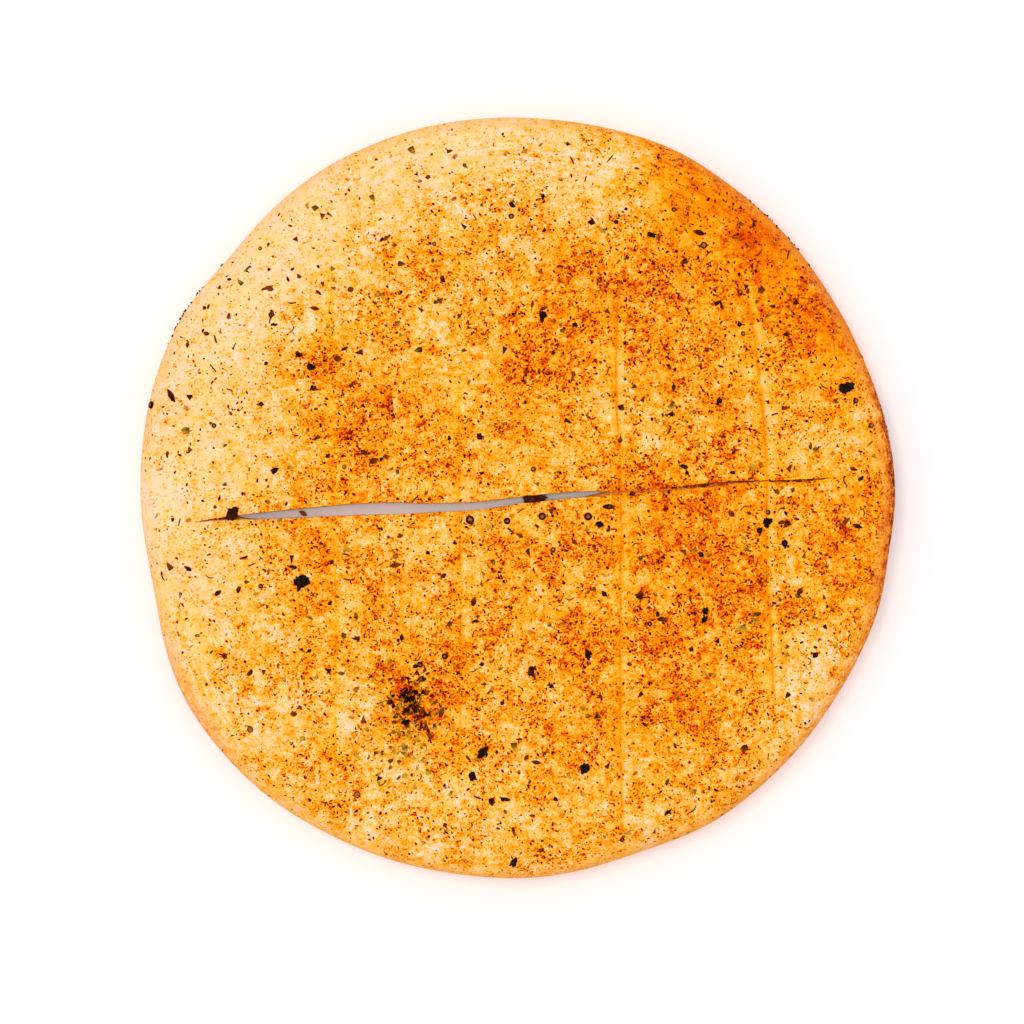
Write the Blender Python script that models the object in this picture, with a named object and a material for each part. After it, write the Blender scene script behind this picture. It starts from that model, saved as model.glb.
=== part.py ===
"""A garlic pizza bread: one pan-baked disc of dough, slit and scored across, with the burnt bits,
seeds and herb flakes that lie baked onto it.

Metres, +Z up. The origin is under the middle of the bread, on the plane that it lies on.
"""

import math
import random

import bmesh
import bpy
from mathutils import Matrix, Vector, noise
from mathutils.bvhtree import BVHTree

# The dough disc.
MEAN_RADIUS = 0.1270
MIDDLE_HEIGHT = 0.0142
RIM_HEIGHT = 0.0168
BELLY_HEIGHT = 0.0066  # where the side stands out furthest
SHOULDER = 0.0090  # how far in from the outline the top starts to round over
TUCK = 0.0040  # how far the side goes back in under the belly
RIM_RISE_FROM = 0.50  # the top rises to the rim between these shares of the radius
RIM_RISE_TO = 0.88

# Where the outline leaves its mean circle: direction and spread in degrees, then how far out.
OUTLINE_LOBES = (
    (222, 19, 0.0041),
    (112, 18, 0.0016),
    (68, 8, 0.0008),
    (140, 5, -0.0014),
    (157, 9, 0.0013),
    (193, 7, -0.0022),
    (27, 13, -0.0024),
    (289, 7, -0.0017),
    (324, 11, -0.0015),
    (351, 5, -0.0014),
)

# How the rim wanders as it goes round: how busy the wave is, and how far it moves each measure.
OUTLINE_WANDER = (9.0, 0.0005)
RIM_WANDER = (2.6, 0.0022)
BELLY_WANDER = (3.4, 0.0020)
SHOULDER_WANDER = (3.0, 0.0034)
TUCK_WANDER = (4.0, 0.0022)
WANDER_APART = 7.3  # between one wave and the next in the noise, so that they differ
# The shoulder is wide and soft at the lower left: direction and spread in degrees, then how much wider.
SOFT_SHOULDER = (222, 24, 0.0030)

# Soft swells and dents of the top: x, y, spread, height.
SWELLS = (
    (0.0572, 0.0562, 0.0090, 0.0014),
    (-0.1040, 0.0040, 0.0095, -0.0010),
    (-0.0530, 0.0225, 0.0130, 0.0009),
    (0.0004, 0.0512, 0.0150, 0.0010),
    (0.0490, -0.0370, 0.0200, 0.0010),
    (0.0975, 0.0613, 0.0140, 0.0009),
    (-0.0330, 0.0746, 0.0160, 0.0008),
    (-0.0350, -0.0688, 0.0120, -0.0007),
    (0.0200, -0.0960, 0.0160, 0.0008),
)
SWELL_NOISE = ((0.034, 0.0007), (0.014, 0.0003))  # wavelength and height of the finer swells

# The mesh of the disc.
RINGS = 19
SECTORS = 6
OVER_STEPS = 3  # rows from the shoulder out to the belly
UNDER_STEPS = 2  # rows from the belly in to the base

# The long slit, cut right through: x, y, width along its middle line.
SLIT = (
    (-0.1077, -0.0080, 0.0003),
    (-0.0979, -0.0068, 0.0012),
    (-0.0821, -0.0056, 0.0026),
    (-0.0577, -0.0039, 0.0038),
    (-0.0414, -0.0034, 0.0040),
    (-0.0297, -0.0032, 0.0031),
    (-0.0133, -0.0025, 0.0028),
    (0.0001, -0.0007, 0.0023),
    (0.0164, 0.0010, 0.0021),
    (0.0248, 0.0014, 0.0018),
    (0.0335, 0.0015, 0.0008),
    (0.0462, 0.0028, 0.0006),
    (0.0562, 0.0034, 0.0014),
    (0.0716, 0.0050, 0.0013),
    (0.0826, 0.0056, 0.0006),
    (0.0940, 0.0055, 0.0010),
    (0.1040, 0.0068, 0.0003),
)

# The closed scores across it, each a run of x, y points.
SCORES = (
    ((-0.0624, 0.0796), (-0.0618, -0.0034), (-0.0610, -0.0480), (-0.0614, -0.0941)),
    ((-0.0200, 0.0429), (-0.0198, -0.0030), (-0.0194, -0.0560), (-0.0200, -0.1008)),
    ((0.0335, 0.0756), (0.0324, 0.0400), (0.0340, 0.0015), (0.0338, -0.0600), (0.0344, -0.1175)),
    (
        (0.0729, 0.0793),
        (0.0757, 0.0690),
        (0.0789, 0.0502),
        (0.0824, 0.0141),
        (0.0826, -0.0226),
        (0.0840, -0.0443),
        (0.0851, -0.0731),
    ),
    ((0.0872, -0.0377), (0.0876, -0.0470), (0.0874, -0.0580)),
    ((0.0819, -0.0661), (0.0817, -0.0740), (0.0821, -0.0801)),
)
SCORE_DEPTH = 0.0012
SCORE_WIDTH = 0.0012
SCORE_TAPER = 0.0120  # the length over which a score runs out at its ends
SCORE_END_LIFT = 0.0001  # how far over the top a score's cutter ends
SCORE_STEP = 0.0120
SLIT_STEP = 0.0060
PROBE_STEP = 0.0015  # between the places where a flake's distance to a cut is taken
CUTTER_OVERSHOOT = 0.0020

# A pinched pit in the top, and a smaller crease beside it: x, y, width, length, depth, turn in degrees.
PITS = (
    (-0.0427, 0.0308, 0.0018, 0.0070, 0.0018, 4),
    (-0.0514, 0.0266, 0.0012, 0.0040, 0.0010, -20),
)

# Burnt bits, largest first: x, y, length, width, turn in degrees.
BURNT_BITS = (
    (-0.0725, -0.0278, 0.0062, 0.0044, 35),
    (0.1092, 0.0372, 0.0060, 0.0042, 30),
    (0.0218, -0.0902, 0.0043, 0.0036, 60),
    (-0.0955, -0.0050, 0.0050, 0.0040, 80),
    (-0.0122, -0.0848, 0.0045, 0.0038, 10),
    (0.0827, -0.0083, 0.0040, 0.0032, 0),
    (0.0081, 0.0606, 0.0043, 0.0030, 100),
    (-0.0018, -0.1212, 0.0038, 0.0026, 80),
    (-0.0155, -0.0927, 0.0036, 0.0025, 110),
    (-0.0692, 0.0440, 0.0032, 0.0028, 0),
    (0.0886, -0.0153, 0.0033, 0.0023, 95),
    (0.0270, -0.0087, 0.0027, 0.0023, 20),
    (0.0230, -0.0523, 0.0038, 0.0025, 70),
    (-0.0380, -0.0748, 0.0033, 0.0021, 5),
    (0.0622, -0.0374, 0.0029, 0.0023, 80),
    (0.0669, 0.0322, 0.0032, 0.0021, 75),
    (-0.0046, -0.1002, 0.0036, 0.0017, 5),
    (0.0442, 0.0877, 0.0036, 0.0017, 165),
    (0.0549, 0.0105, 0.0033, 0.0017, 170),
    (0.0617, -0.0407, 0.0026, 0.0020, 60),
    (0.0609, -0.0188, 0.0020, 0.0018, 0),
    (0.0495, -0.1046, 0.0027, 0.0017, 10),
    (0.0736, 0.0579, 0.0023, 0.0017, 80),
    (0.0188, 0.0579, 0.0023, 0.0017, 0),
    (0.0081, 0.1004, 0.0023, 0.0017, 100),
    (-0.1100, -0.0235, 0.0020, 0.0018, 0),
    (0.0041, -0.0577, 0.0042, 0.0022, 85),
    (-0.0755, -0.0230, 0.0033, 0.0015, 175),
)
BURNT_HEIGHT_SHARE = 0.50  # height over width
LUMP_LEAST = 0.84  # how uneven a lump is, as shares of its radius
LUMP_MOST = 1.12
LARGE_BIT = 0.0040  # a bit longer than this gets a finer lump

# Round seeds: x, y, diameter.
SEEDS = (
    (-0.0163, -0.0072, 0.0029),
    (-0.0039, -0.0076, 0.0023),
    (0.0078, -0.0060, 0.0026),
    (0.0231, -0.0061, 0.0027),
    (0.0616, 0.0843, 0.0023),
    (-0.0895, -0.0771, 0.0021),
    (-0.0539, -0.0987, 0.0023),
    (-0.0330, -0.0555, 0.0021),
    (-0.0247, -0.0527, 0.0021),
)
SEED_FLATNESS = 0.85  # height over diameter

# Large single leaves: x, y, length, width, turn in degrees.
LEAVES = (
    (0.0300, -0.0028, 0.0043, 0.0017, 0),
    (0.0600, 0.0885, 0.0040, 0.0017, 165),
)
LEAF_THICKNESS = 0.0009

# A brown crumb caught in the slit, holding to both its walls.
CRUMB_X = 0.0055
CRUMB_Y = 0.0002
CRUMB_LENGTH = 0.0085
CRUMB_WIDTH = 0.0036
CRUMB_TURN = 8
CRUMB_DROP = 0.0016  # under the top

# A clump of burnt herbs: middle, reach and how many flakes.
CLUMP_X = -0.0355
CLUMP_Y = -0.0680
CLUMP_REACH_X = 0.0060
CLUMP_REACH_Y = 0.0085
CLUMP_FLAKES = 12

# Where the top browned most, and the flakes lie thickest: x, y, spread, strength.
BROWNED = (
    (0.0739, 0.0780, 0.0230, 0.9),
    (0.0973, 0.0600, 0.0170, 0.8),
    (0.0150, 0.0650, 0.0200, 1.0),
    (-0.0500, 0.0250, 0.0170, 0.6),
    (0.0520, -0.0370, 0.0240, 0.8),
    (0.0739, -0.0340, 0.0140, 0.8),
    (0.1120, -0.0206, 0.0140, 0.8),
    (0.0138, -0.0474, 0.0160, 0.7),
    (0.0505, 0.0596, 0.0180, 0.9),
    (-0.0330, 0.0746, 0.0170, 0.5),
    (-0.0400, -0.0640, 0.0220, 0.9),
    (-0.0100, -0.0950, 0.0220, 0.6),
    (0.0500, -0.0850, 0.0200, 0.5),
)
BARE_SHARE = 0.40  # chance that a flake stays where nothing browned

# The scattered flakes.
SCATTER_SEED = 41
SCATTERED_FLAKES = 152
SCATTER_REACH = 0.955  # share of the outline's radius
FLAKE_LONGEST = 0.0030
FLAKE_SHORTEST = 0.0015
FLAKE_SLIMMEST = 0.55  # width over length
FLAKE_BROADEST = 0.90
FLAKE_THICKNESS = 0.0008
FLAKE_SUNK = 0.0003
FLAKE_TOP_SHARE = 0.86  # the top face over the one in the dough
FLAKE_CORNERS = 5
CORNER_SLIP = 0.28  # how far a corner may slip round, as a share of the way to the next
FLAKE_LIFT_DEGREES = 10
KEEP_APART = 0.0007
CLEAR_OF_CUTS = 0.0008

DOUGH_COLOUR = (0.93, 0.62, 0.24, 1.0)
DOUGH_ROUGHNESS = 0.55
SHARP_DEGREES = 40  # a steeper fold than this between two faces stays a sharp edge


def remove_everything():
    for thing in list(bpy.data.objects):
        bpy.data.objects.remove(thing)


def collection(name):
    made = bpy.data.collections.new(name)
    bpy.context.scene.collection.children.link(made)
    return made


def object_from(name, shape, home):
    mesh = bpy.data.meshes.new(name)
    shape.to_mesh(mesh)
    shape.free()
    thing = bpy.data.objects.new(name, mesh)
    home.objects.link(thing)
    return thing


def as_helper(thing):
    thing.hide_render = True
    thing.display_type = "WIRE"
    return thing


def dough_material():
    material = bpy.data.materials.new("baked_dough")
    material.use_nodes = True
    shader = material.node_tree.nodes["Principled BSDF"]
    shader.inputs["Base Color"].default_value = DOUGH_COLOUR
    shader.inputs["Roughness"].default_value = DOUGH_ROUGHNESS
    shader.inputs["Metallic"].default_value = 0.0
    return material


def bell(distance, spread):
    return math.exp(-0.5 * (distance / spread) ** 2)


def smooth_step(low, high, value):
    share = min(max((value - low) / (high - low), 0.0), 1.0)
    return share * share * (3.0 - 2.0 * share)


def lobe(angle, direction, spread, reach):
    """A bump in a direction. The angle is in radians, the direction and spread in degrees from +X to +Y."""
    turn = (math.degrees(angle) - direction + 180.0) % 360.0 - 180.0
    return reach * bell(turn, spread)


def wander(angle, wave, which):
    """A slow uneven wave round the rim. The last number picks one of several that differ."""
    busy, reach = wave
    spot = Vector((math.cos(angle), math.sin(angle), 0.0)) * busy / 2.0
    return reach * noise.noise(spot + Vector((0.0, 0.0, WANDER_APART * which)))


def outline_radius(angle):
    """The distance from the middle to the outline in a direction."""
    radius = MEAN_RADIUS + wander(angle, OUTLINE_WANDER, 1)
    return radius + sum(lobe(angle, *values) for values in OUTLINE_LOBES)


def shoulder_width(angle):
    return SHOULDER + wander(angle, SHOULDER_WANDER, 2) + lobe(angle, *SOFT_SHOULDER)


def top_height(x, y):
    angle = math.atan2(y, x)
    share = math.hypot(x, y) / outline_radius(angle)
    rim = RIM_HEIGHT + wander(angle, RIM_WANDER, 3)
    height = MIDDLE_HEIGHT + (rim - MIDDLE_HEIGHT) * smooth_step(RIM_RISE_FROM, RIM_RISE_TO, share)
    for swell_x, swell_y, spread, rise in SWELLS:
        height += rise * bell(math.hypot(x - swell_x, y - swell_y), spread)
    for wavelength, rise in SWELL_NOISE:
        height += rise * noise.noise(Vector((x, y, 0.0)) / wavelength)
    return height


def ring_points(count, reach_at, height_at):
    """A ring of points, reach_at giving each direction's distance and height_at each place's height."""
    points = []
    for step in range(count):
        angle = 2.0 * math.pi * step / count
        reach = reach_at(angle)
        x = reach * math.cos(angle)
        y = reach * math.sin(angle)
        points.append(Vector((x, y, height_at(x, y, angle))))
    return points


def top_ring(number):
    return ring_points(
        SECTORS * number,
        lambda angle: (outline_radius(angle) - shoulder_width(angle)) * number / RINGS,
        lambda x, y, angle: top_height(x, y),
    )


def side_ring(depth, drop):
    """A ring of the side. Depth runs 0 to 1 from shoulder to belly, and drop from there to the base."""
    out = math.sin(0.5 * math.pi * depth)
    down = math.cos(0.5 * math.pi * depth)
    under = 1.0 - math.cos(0.5 * math.pi * drop)
    low = 1.0 - math.sin(0.5 * math.pi * drop)

    def reach_at(angle):
        tuck = TUCK + wander(angle, TUCK_WANDER, 4)
        return outline_radius(angle) - shoulder_width(angle) * (1.0 - out) - tuck * under

    def height_at(x, y, angle):
        shoulder_reach = outline_radius(angle) - shoulder_width(angle)
        shoulder = top_height(shoulder_reach * math.cos(angle), shoulder_reach * math.sin(angle))
        belly = BELLY_HEIGHT + wander(angle, BELLY_WANDER, 5)
        return low * (belly + (shoulder - belly) * down)

    return ring_points(SECTORS * RINGS, reach_at, height_at)


def stitch_growing_rings(shape, inner, outer):
    """Joins a ring to the next one out, which has one more point in each sector."""
    inner_run = len(inner) // SECTORS
    outer_run = len(outer) // SECTORS
    for sector in range(SECTORS):
        for step in range(outer_run):
            near = inner[(sector * inner_run + step) % len(inner)]
            left = outer[sector * outer_run + step]
            right = outer[(sector * outer_run + step + 1) % len(outer)]
            shape.faces.new((near, left, right))
            if step < inner_run:
                beyond = inner[(sector * inner_run + step + 1) % len(inner)]
                shape.faces.new((near, right, beyond))


def stitch_equal_rings(shape, upper, lower):
    for step in range(len(upper)):
        after = (step + 1) % len(upper)
        shape.faces.new((upper[step], lower[step], lower[after], upper[after]))


def dough_disc(home):
    """The disc without its cuts: near-even triangles on top, a rounded side and a flat base."""
    shape = bmesh.new()
    middle = shape.verts.new((0.0, 0.0, top_height(0.0, 0.0)))
    ring = [shape.verts.new(point) for point in top_ring(1)]
    for step in range(SECTORS):
        shape.faces.new((middle, ring[step], ring[(step + 1) % SECTORS]))
    for number in range(2, RINGS + 1):
        wider = [shape.verts.new(point) for point in top_ring(number)]
        stitch_growing_rings(shape, ring, wider)
        ring = wider
    rows = [(step / OVER_STEPS, 0.0) for step in range(1, OVER_STEPS + 1)]
    rows += [(1.0, step / UNDER_STEPS) for step in range(1, UNDER_STEPS + 1)]
    for depth, drop in rows:
        lower = [shape.verts.new(point) for point in side_ring(depth, drop)]
        stitch_equal_rings(shape, ring, lower)
        ring = lower
    shape.faces.new(reversed(ring))
    bmesh.ops.recalc_face_normals(shape, faces=shape.faces)
    return object_from("bread", shape, home)


def smooth_path(points, step):
    """Places about a step apart on a smooth curve through the given points, whatever each point holds."""
    padded = (points[0],) + tuple(points) + (points[-1],)
    path = []
    for before, start, end, after in zip(padded, padded[1:], padded[2:], padded[3:]):
        count = max(1, round(math.dist(start[:2], end[:2]) / step))
        for index in range(count):
            t = index / count
            path.append(
                tuple(
                    0.5
                    * (
                        2.0 * b
                        + (c - a) * t
                        + (2.0 * a - 5.0 * b + 4.0 * c - d) * t**2
                        + (3.0 * b - a - 3.0 * c + d) * t**3
                    )
                    for a, b, c, d in zip(before, start, end, after)
                )
            )
    path.append(tuple(points[-1]))
    return path


def path_sides(path):
    """The unit direction across the path at each of its points, on its left."""
    sides = []
    for index in range(len(path)):
        before = path[max(index - 1, 0)]
        after = path[min(index + 1, len(path) - 1)]
        along = Vector((after[0] - before[0], after[1] - before[1])).normalized()
        sides.append(Vector((-along.y, along.x)))
    return sides


def slit_cutter(home):
    """An upright blade of the slit's own outline, from under the base to over the top."""
    path = smooth_path(SLIT, SLIT_STEP)
    left = []
    right = []
    for (x, y, width), side in zip(path, path_sides(path)):
        left.append(Vector((x, y)) + side * (0.5 * width))
        right.append(Vector((x, y)) - side * (0.5 * width))
    shape = bmesh.new()
    outline = [shape.verts.new((place.x, place.y, -CUTTER_OVERSHOOT)) for place in right + left[::-1]]
    face = shape.faces.new(outline)
    top = bmesh.ops.extrude_face_region(shape, geom=[face])["geom"]
    raised = [item for item in top if isinstance(item, bmesh.types.BMVert)]
    rise = RIM_HEIGHT + 3.0 * CUTTER_OVERSHOOT
    bmesh.ops.translate(shape, verts=raised, vec=(0.0, 0.0, rise))
    bmesh.ops.recalc_face_normals(shape, faces=shape.faces)
    return as_helper(object_from("slit_cutter", shape, home))


def score_cutter(name, points, home):
    """A thin wedge that follows the top along a score, and comes out of the dough at both ends."""
    path = smooth_path(points, SCORE_STEP)
    travelled = [0.0]
    for start, end in zip(path, path[1:]):
        travelled.append(travelled[-1] + math.dist(start, end))
    shape = bmesh.new()
    sections = []
    for (x, y), side, place in zip(path, path_sides(path), travelled):
        to_end = min(place, travelled[-1] - place)
        depth = SCORE_DEPTH * smooth_step(0.0, SCORE_TAPER, to_end) - SCORE_END_LIFT
        surface = top_height(x, y)
        half_width = 0.5 * SCORE_WIDTH * (SCORE_DEPTH + CUTTER_OVERSHOOT) / SCORE_DEPTH
        left = Vector((x, y)) + side * half_width
        right = Vector((x, y)) - side * half_width
        lift = surface + CUTTER_OVERSHOOT
        corners = ((left.x, left.y, lift), (right.x, right.y, lift), (x, y, surface - depth))
        sections.append([shape.verts.new(corner) for corner in corners])
    for first, second in zip(sections, sections[1:]):
        for corner in range(3):
            after = (corner + 1) % 3
            shape.faces.new((first[corner], first[after], second[after], second[corner]))
    shape.faces.new(sections[0])
    shape.faces.new(reversed(sections[-1]))
    bmesh.ops.recalc_face_normals(shape, faces=shape.faces)
    return as_helper(object_from(name, shape, home))


def pit_cutter(name, pit, home):
    x, y, width, length, depth, turn = pit
    shape = bmesh.new()
    size = Matrix.Diagonal((0.5 * width, 0.5 * length, depth, 1.0))
    place = Matrix.Translation((x, y, top_height(x, y)))
    matrix = place @ Matrix.Rotation(math.radians(turn), 4, "Z") @ size
    bmesh.ops.create_icosphere(shape, subdivisions=2, radius=1.0, matrix=matrix)
    return as_helper(object_from(name, shape, home))


def apply_boolean(bread, operation, others, solver):
    """Cuts or joins a whole collection at once, then removes what is in it."""
    modifier = bread.modifiers.new(operation.lower(), "BOOLEAN")
    modifier.operation = operation
    modifier.operand_type = "COLLECTION"
    modifier.collection = others
    modifier.solver = solver
    graph = bpy.context.evaluated_depsgraph_get()
    mesh = bpy.data.meshes.new_from_object(bread.evaluated_get(graph))
    bread.modifiers.clear()
    bread.data = mesh
    for thing in list(others.objects):
        bpy.data.objects.remove(thing)
    bpy.data.collections.remove(others)


def cut_the_bread(bread):
    cutters = collection("cutters")
    slit_cutter(cutters)
    for number, points in enumerate(SCORES):
        score_cutter(f"score_cutter_{number}", points, cutters)
    for number, pit in enumerate(PITS):
        pit_cutter(f"pit_cutter_{number}", pit, cutters)
    apply_boolean(bread, "DIFFERENCE", cutters, "EXACT")


def surface_of(bread):
    shape = bmesh.new()
    shape.from_mesh(bread.data)
    tree = BVHTree.FromBMesh(shape)
    shape.free()
    return tree


def place_on(surface, x, y, turn):
    """A frame on the top of the bread, its Z along the surface's normal, or None over a cut."""
    start = Vector((x, y, 2.0 * RIM_HEIGHT))
    point, normal, _, _ = surface.ray_cast(start, Vector((0.0, 0.0, -1.0)))
    if point is None or point.z < 0.5 * MIDDLE_HEIGHT:
        return None
    tilt = Vector((0.0, 0.0, 1.0)).rotation_difference(normal).to_matrix().to_4x4()
    return Matrix.Translation(point) @ tilt @ Matrix.Rotation(math.radians(turn), 4, "Z")


def lump(name, frame, length, width, detail, draw, home):
    """A burnt bit: an uneven lump, half sunk in the dough."""
    shape = bmesh.new()
    bmesh.ops.create_icosphere(shape, subdivisions=detail, radius=0.5)
    for vert in shape.verts:
        vert.co *= draw.uniform(LUMP_LEAST, LUMP_MOST)
    height = 2.0 * BURNT_HEIGHT_SHARE * width
    bmesh.ops.scale(shape, vec=(length, width, height), verts=shape.verts)
    bmesh.ops.transform(shape, matrix=frame, verts=shape.verts)
    return as_helper(object_from(name, shape, home))


def seed(name, frame, diameter, home):
    shape = bmesh.new()
    bmesh.ops.create_icosphere(shape, subdivisions=1, radius=0.5 * diameter)
    bmesh.ops.scale(shape, vec=(1.0, 1.0, SEED_FLATNESS), verts=shape.verts)
    bmesh.ops.transform(shape, matrix=frame, verts=shape.verts)
    return as_helper(object_from(name, shape, home))


def flake(name, frame, length, width, thickness, draw, home):
    """A dried herb flake: an uneven plate with a few corners, one side lifted a little."""
    shape = bmesh.new()
    corners = []
    for corner in range(FLAKE_CORNERS):
        angle = 2.0 * math.pi * (corner + draw.uniform(-CORNER_SLIP, CORNER_SLIP)) / FLAKE_CORNERS
        x = 0.5 * length * math.cos(angle)
        y = 0.5 * width * math.sin(angle)
        corners.append(shape.verts.new((x, y, -FLAKE_SUNK)))
    face = shape.faces.new(corners)
    top = bmesh.ops.extrude_face_region(shape, geom=[face])["geom"]
    raised = [item for item in top if isinstance(item, bmesh.types.BMVert)]
    bmesh.ops.translate(shape, verts=raised, vec=(0.0, 0.0, thickness))
    bmesh.ops.scale(shape, vec=(FLAKE_TOP_SHARE, FLAKE_TOP_SHARE, 1.0), verts=raised)
    bmesh.ops.recalc_face_normals(shape, faces=shape.faces)
    lift = Matrix.Rotation(math.radians(draw.uniform(0.0, FLAKE_LIFT_DEGREES)), 4, "Y")
    bmesh.ops.transform(shape, matrix=frame @ lift, verts=shape.verts)
    return as_helper(object_from(name, shape, home))


def cut_places():
    """Points along every cut, each with how wide the cut is there."""
    places = []
    for x, y, width in smooth_path(SLIT, PROBE_STEP):
        places.append((x, y, 0.5 * width))
    for points in SCORES:
        for x, y in smooth_path(points, PROBE_STEP):
            places.append((x, y, 0.5 * SCORE_WIDTH))
    for x, y, width, length, _, _ in PITS:
        places.append((x, y, 0.5 * length))
    return places


def browned(x, y):
    return sum(strength * bell(math.hypot(x - px, y - py), spread) for px, py, spread, strength in BROWNED)


def is_free(x, y, reach, taken, cuts):
    if any(math.hypot(x - tx, y - ty) < reach + other + KEEP_APART for tx, ty, other in taken):
        return False
    return all(math.hypot(x - cx, y - cy) > reach + width + CLEAR_OF_CUTS for cx, cy, width in cuts)


def placed_bits(surface, draw, home):
    """The bits that have a place of their own. Returns the ground that they take."""
    taken = []
    for number, (x, y, length, width, turn) in enumerate(BURNT_BITS):
        detail = 2 if length > LARGE_BIT else 1
        lump(f"burnt_{number}", place_on(surface, x, y, turn), length, width, detail, draw, home)
        taken.append((x, y, 0.5 * length))
    for number, (x, y, diameter) in enumerate(SEEDS):
        seed(f"seed_{number}", place_on(surface, x, y, 0.0), diameter, home)
        taken.append((x, y, 0.5 * diameter))
    for number, (x, y, length, width, turn) in enumerate(LEAVES):
        frame = place_on(surface, x, y, turn)
        flake(f"leaf_{number}", frame, length, width, LEAF_THICKNESS, draw, home)
        taken.append((x, y, 0.5 * length))
    return taken


def crumb_in_slit(draw, home):
    place = Vector((CRUMB_X, CRUMB_Y, top_height(CRUMB_X, CRUMB_Y) - CRUMB_DROP))
    frame = Matrix.Translation(place) @ Matrix.Rotation(math.radians(CRUMB_TURN), 4, "Z")
    lump("crumb", frame, CRUMB_LENGTH, CRUMB_WIDTH, 2, draw, home)


def add_flake_if_free(name, x, y, length, surface, draw, taken, cuts, home):
    if not is_free(x, y, 0.5 * length, taken, cuts):
        return False
    frame = place_on(surface, x, y, draw.uniform(0.0, 360.0))
    if frame is None:
        return False
    width = length * draw.uniform(FLAKE_SLIMMEST, FLAKE_BROADEST)
    flake(name, frame, length, width, FLAKE_THICKNESS, draw, home)
    taken.append((x, y, 0.5 * length))
    return True


def clump_of_herbs(surface, draw, taken, cuts, home):
    made = 0
    while made < CLUMP_FLAKES:
        x = CLUMP_X + draw.uniform(-CLUMP_REACH_X, CLUMP_REACH_X)
        y = CLUMP_Y + draw.uniform(-CLUMP_REACH_Y, CLUMP_REACH_Y)
        length = draw.uniform(FLAKE_SHORTEST, FLAKE_LONGEST)
        made += add_flake_if_free(f"clump_{made}", x, y, length, surface, draw, taken, cuts, home)


def scattered_flakes(surface, draw, taken, cuts, home):
    """Flakes all over the top, the largest first, thicker where it browned."""
    made = 0
    while made < SCATTERED_FLAKES:
        angle = draw.uniform(0.0, 2.0 * math.pi)
        reach = SCATTER_REACH * outline_radius(angle) * math.sqrt(draw.random())
        x = reach * math.cos(angle)
        y = reach * math.sin(angle)
        if draw.random() > BARE_SHARE + browned(x, y):
            continue
        length = FLAKE_LONGEST + (FLAKE_SHORTEST - FLAKE_LONGEST) * made / SCATTERED_FLAKES
        made += add_flake_if_free(f"flake_{made}", x, y, length, surface, draw, taken, cuts, home)


def top_the_bread(bread):
    draw = random.Random(SCATTER_SEED)
    toppings = collection("toppings")
    surface = surface_of(bread)
    cuts = cut_places()
    taken = placed_bits(surface, draw, toppings)
    crumb_in_slit(draw, toppings)
    clump_of_herbs(surface, draw, taken, cuts, toppings)
    scattered_flakes(surface, draw, taken, cuts, toppings)
    apply_boolean(bread, "UNION", toppings, "EXACT")


def centre_on_origin(bread):
    """Puts the middle of the bread's box over the origin."""
    corners = [vert.co for vert in bread.data.vertices]
    middle_x = 0.5 * (min(corner.x for corner in corners) + max(corner.x for corner in corners))
    middle_y = 0.5 * (min(corner.y for corner in corners) + max(corner.y for corner in corners))
    bread.data.transform(Matrix.Translation((-middle_x, -middle_y, 0.0)))


def main():
    remove_everything()
    bread = dough_disc(bpy.context.scene.collection)
    cut_the_bread(bread)
    top_the_bread(bread)
    centre_on_origin(bread)
    bread.data.materials.clear()
    bread.data.materials.append(dough_material())
    bread.data.shade_smooth()
    bread.data.set_sharp_from_angle(angle=math.radians(SHARP_DEGREES))


main()
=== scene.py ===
"""The dressed garlic pizza bread: a browned dough skin with its slit and scores, burnt bits, herbs and spice.

Metres, +Z up. Places on the bread are measured from the middle of its mean circle. Every piece is moved
at the end by the same small step as the solid bread, whose box has its middle over the origin.
"""

import math
import random
from contextlib import contextmanager

import bpy
import numpy as np
from mathutils import Matrix, Vector, noise
from mathutils.bvhtree import BVHTree


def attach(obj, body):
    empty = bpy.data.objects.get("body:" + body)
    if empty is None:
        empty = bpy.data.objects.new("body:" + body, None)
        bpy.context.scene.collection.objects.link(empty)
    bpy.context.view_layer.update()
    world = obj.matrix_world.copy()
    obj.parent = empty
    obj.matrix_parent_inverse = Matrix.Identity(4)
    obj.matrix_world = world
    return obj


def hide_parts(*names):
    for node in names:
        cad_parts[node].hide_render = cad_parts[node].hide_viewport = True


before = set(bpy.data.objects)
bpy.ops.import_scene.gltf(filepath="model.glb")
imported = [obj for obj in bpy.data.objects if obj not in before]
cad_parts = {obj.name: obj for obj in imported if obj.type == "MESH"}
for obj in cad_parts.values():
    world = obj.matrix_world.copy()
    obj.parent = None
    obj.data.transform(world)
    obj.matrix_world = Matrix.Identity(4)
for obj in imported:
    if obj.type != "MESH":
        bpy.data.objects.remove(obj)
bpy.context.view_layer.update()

# The view: straight down, with a long lens.
PIXEL = 0.0003342  # one pixel on the bread
IMAGE_SIDE = 1024
MIDDLE_PIXEL = (518.8, 498.3)  # where the middle of the mean circle lies in the picture
LENS = 150.0
SENSOR = 36.0
FAR_LIMIT = 20.0
SCALE_HEIGHT = 0.0120  # the height at which the scale holds

# The light.
WORLD_STRENGTH = 0.74
KEY_PLACE = (-0.55, 0.32, 1.70)
KEY_SIZE = 0.70
KEY_POWER = 6.6
OVERHEAD_PLACE = (0.0, 0.0, 1.75)  # behind the camera, so that light falls to the bottom of the slit
OVERHEAD_SIZE = 0.20
OVERHEAD_POWER = 8.8
LIGHT_GAIN = 1.18  # how much brighter than its own paint the top comes out

# The floor.
FLOOR_SIZE = 6.0
FLOOR_DROP = 0.0001
FLOOR_COLOUR = (0.93, 0.875, 0.865, 1.0)
FLOOR_ROUGHNESS = 0.9

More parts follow.
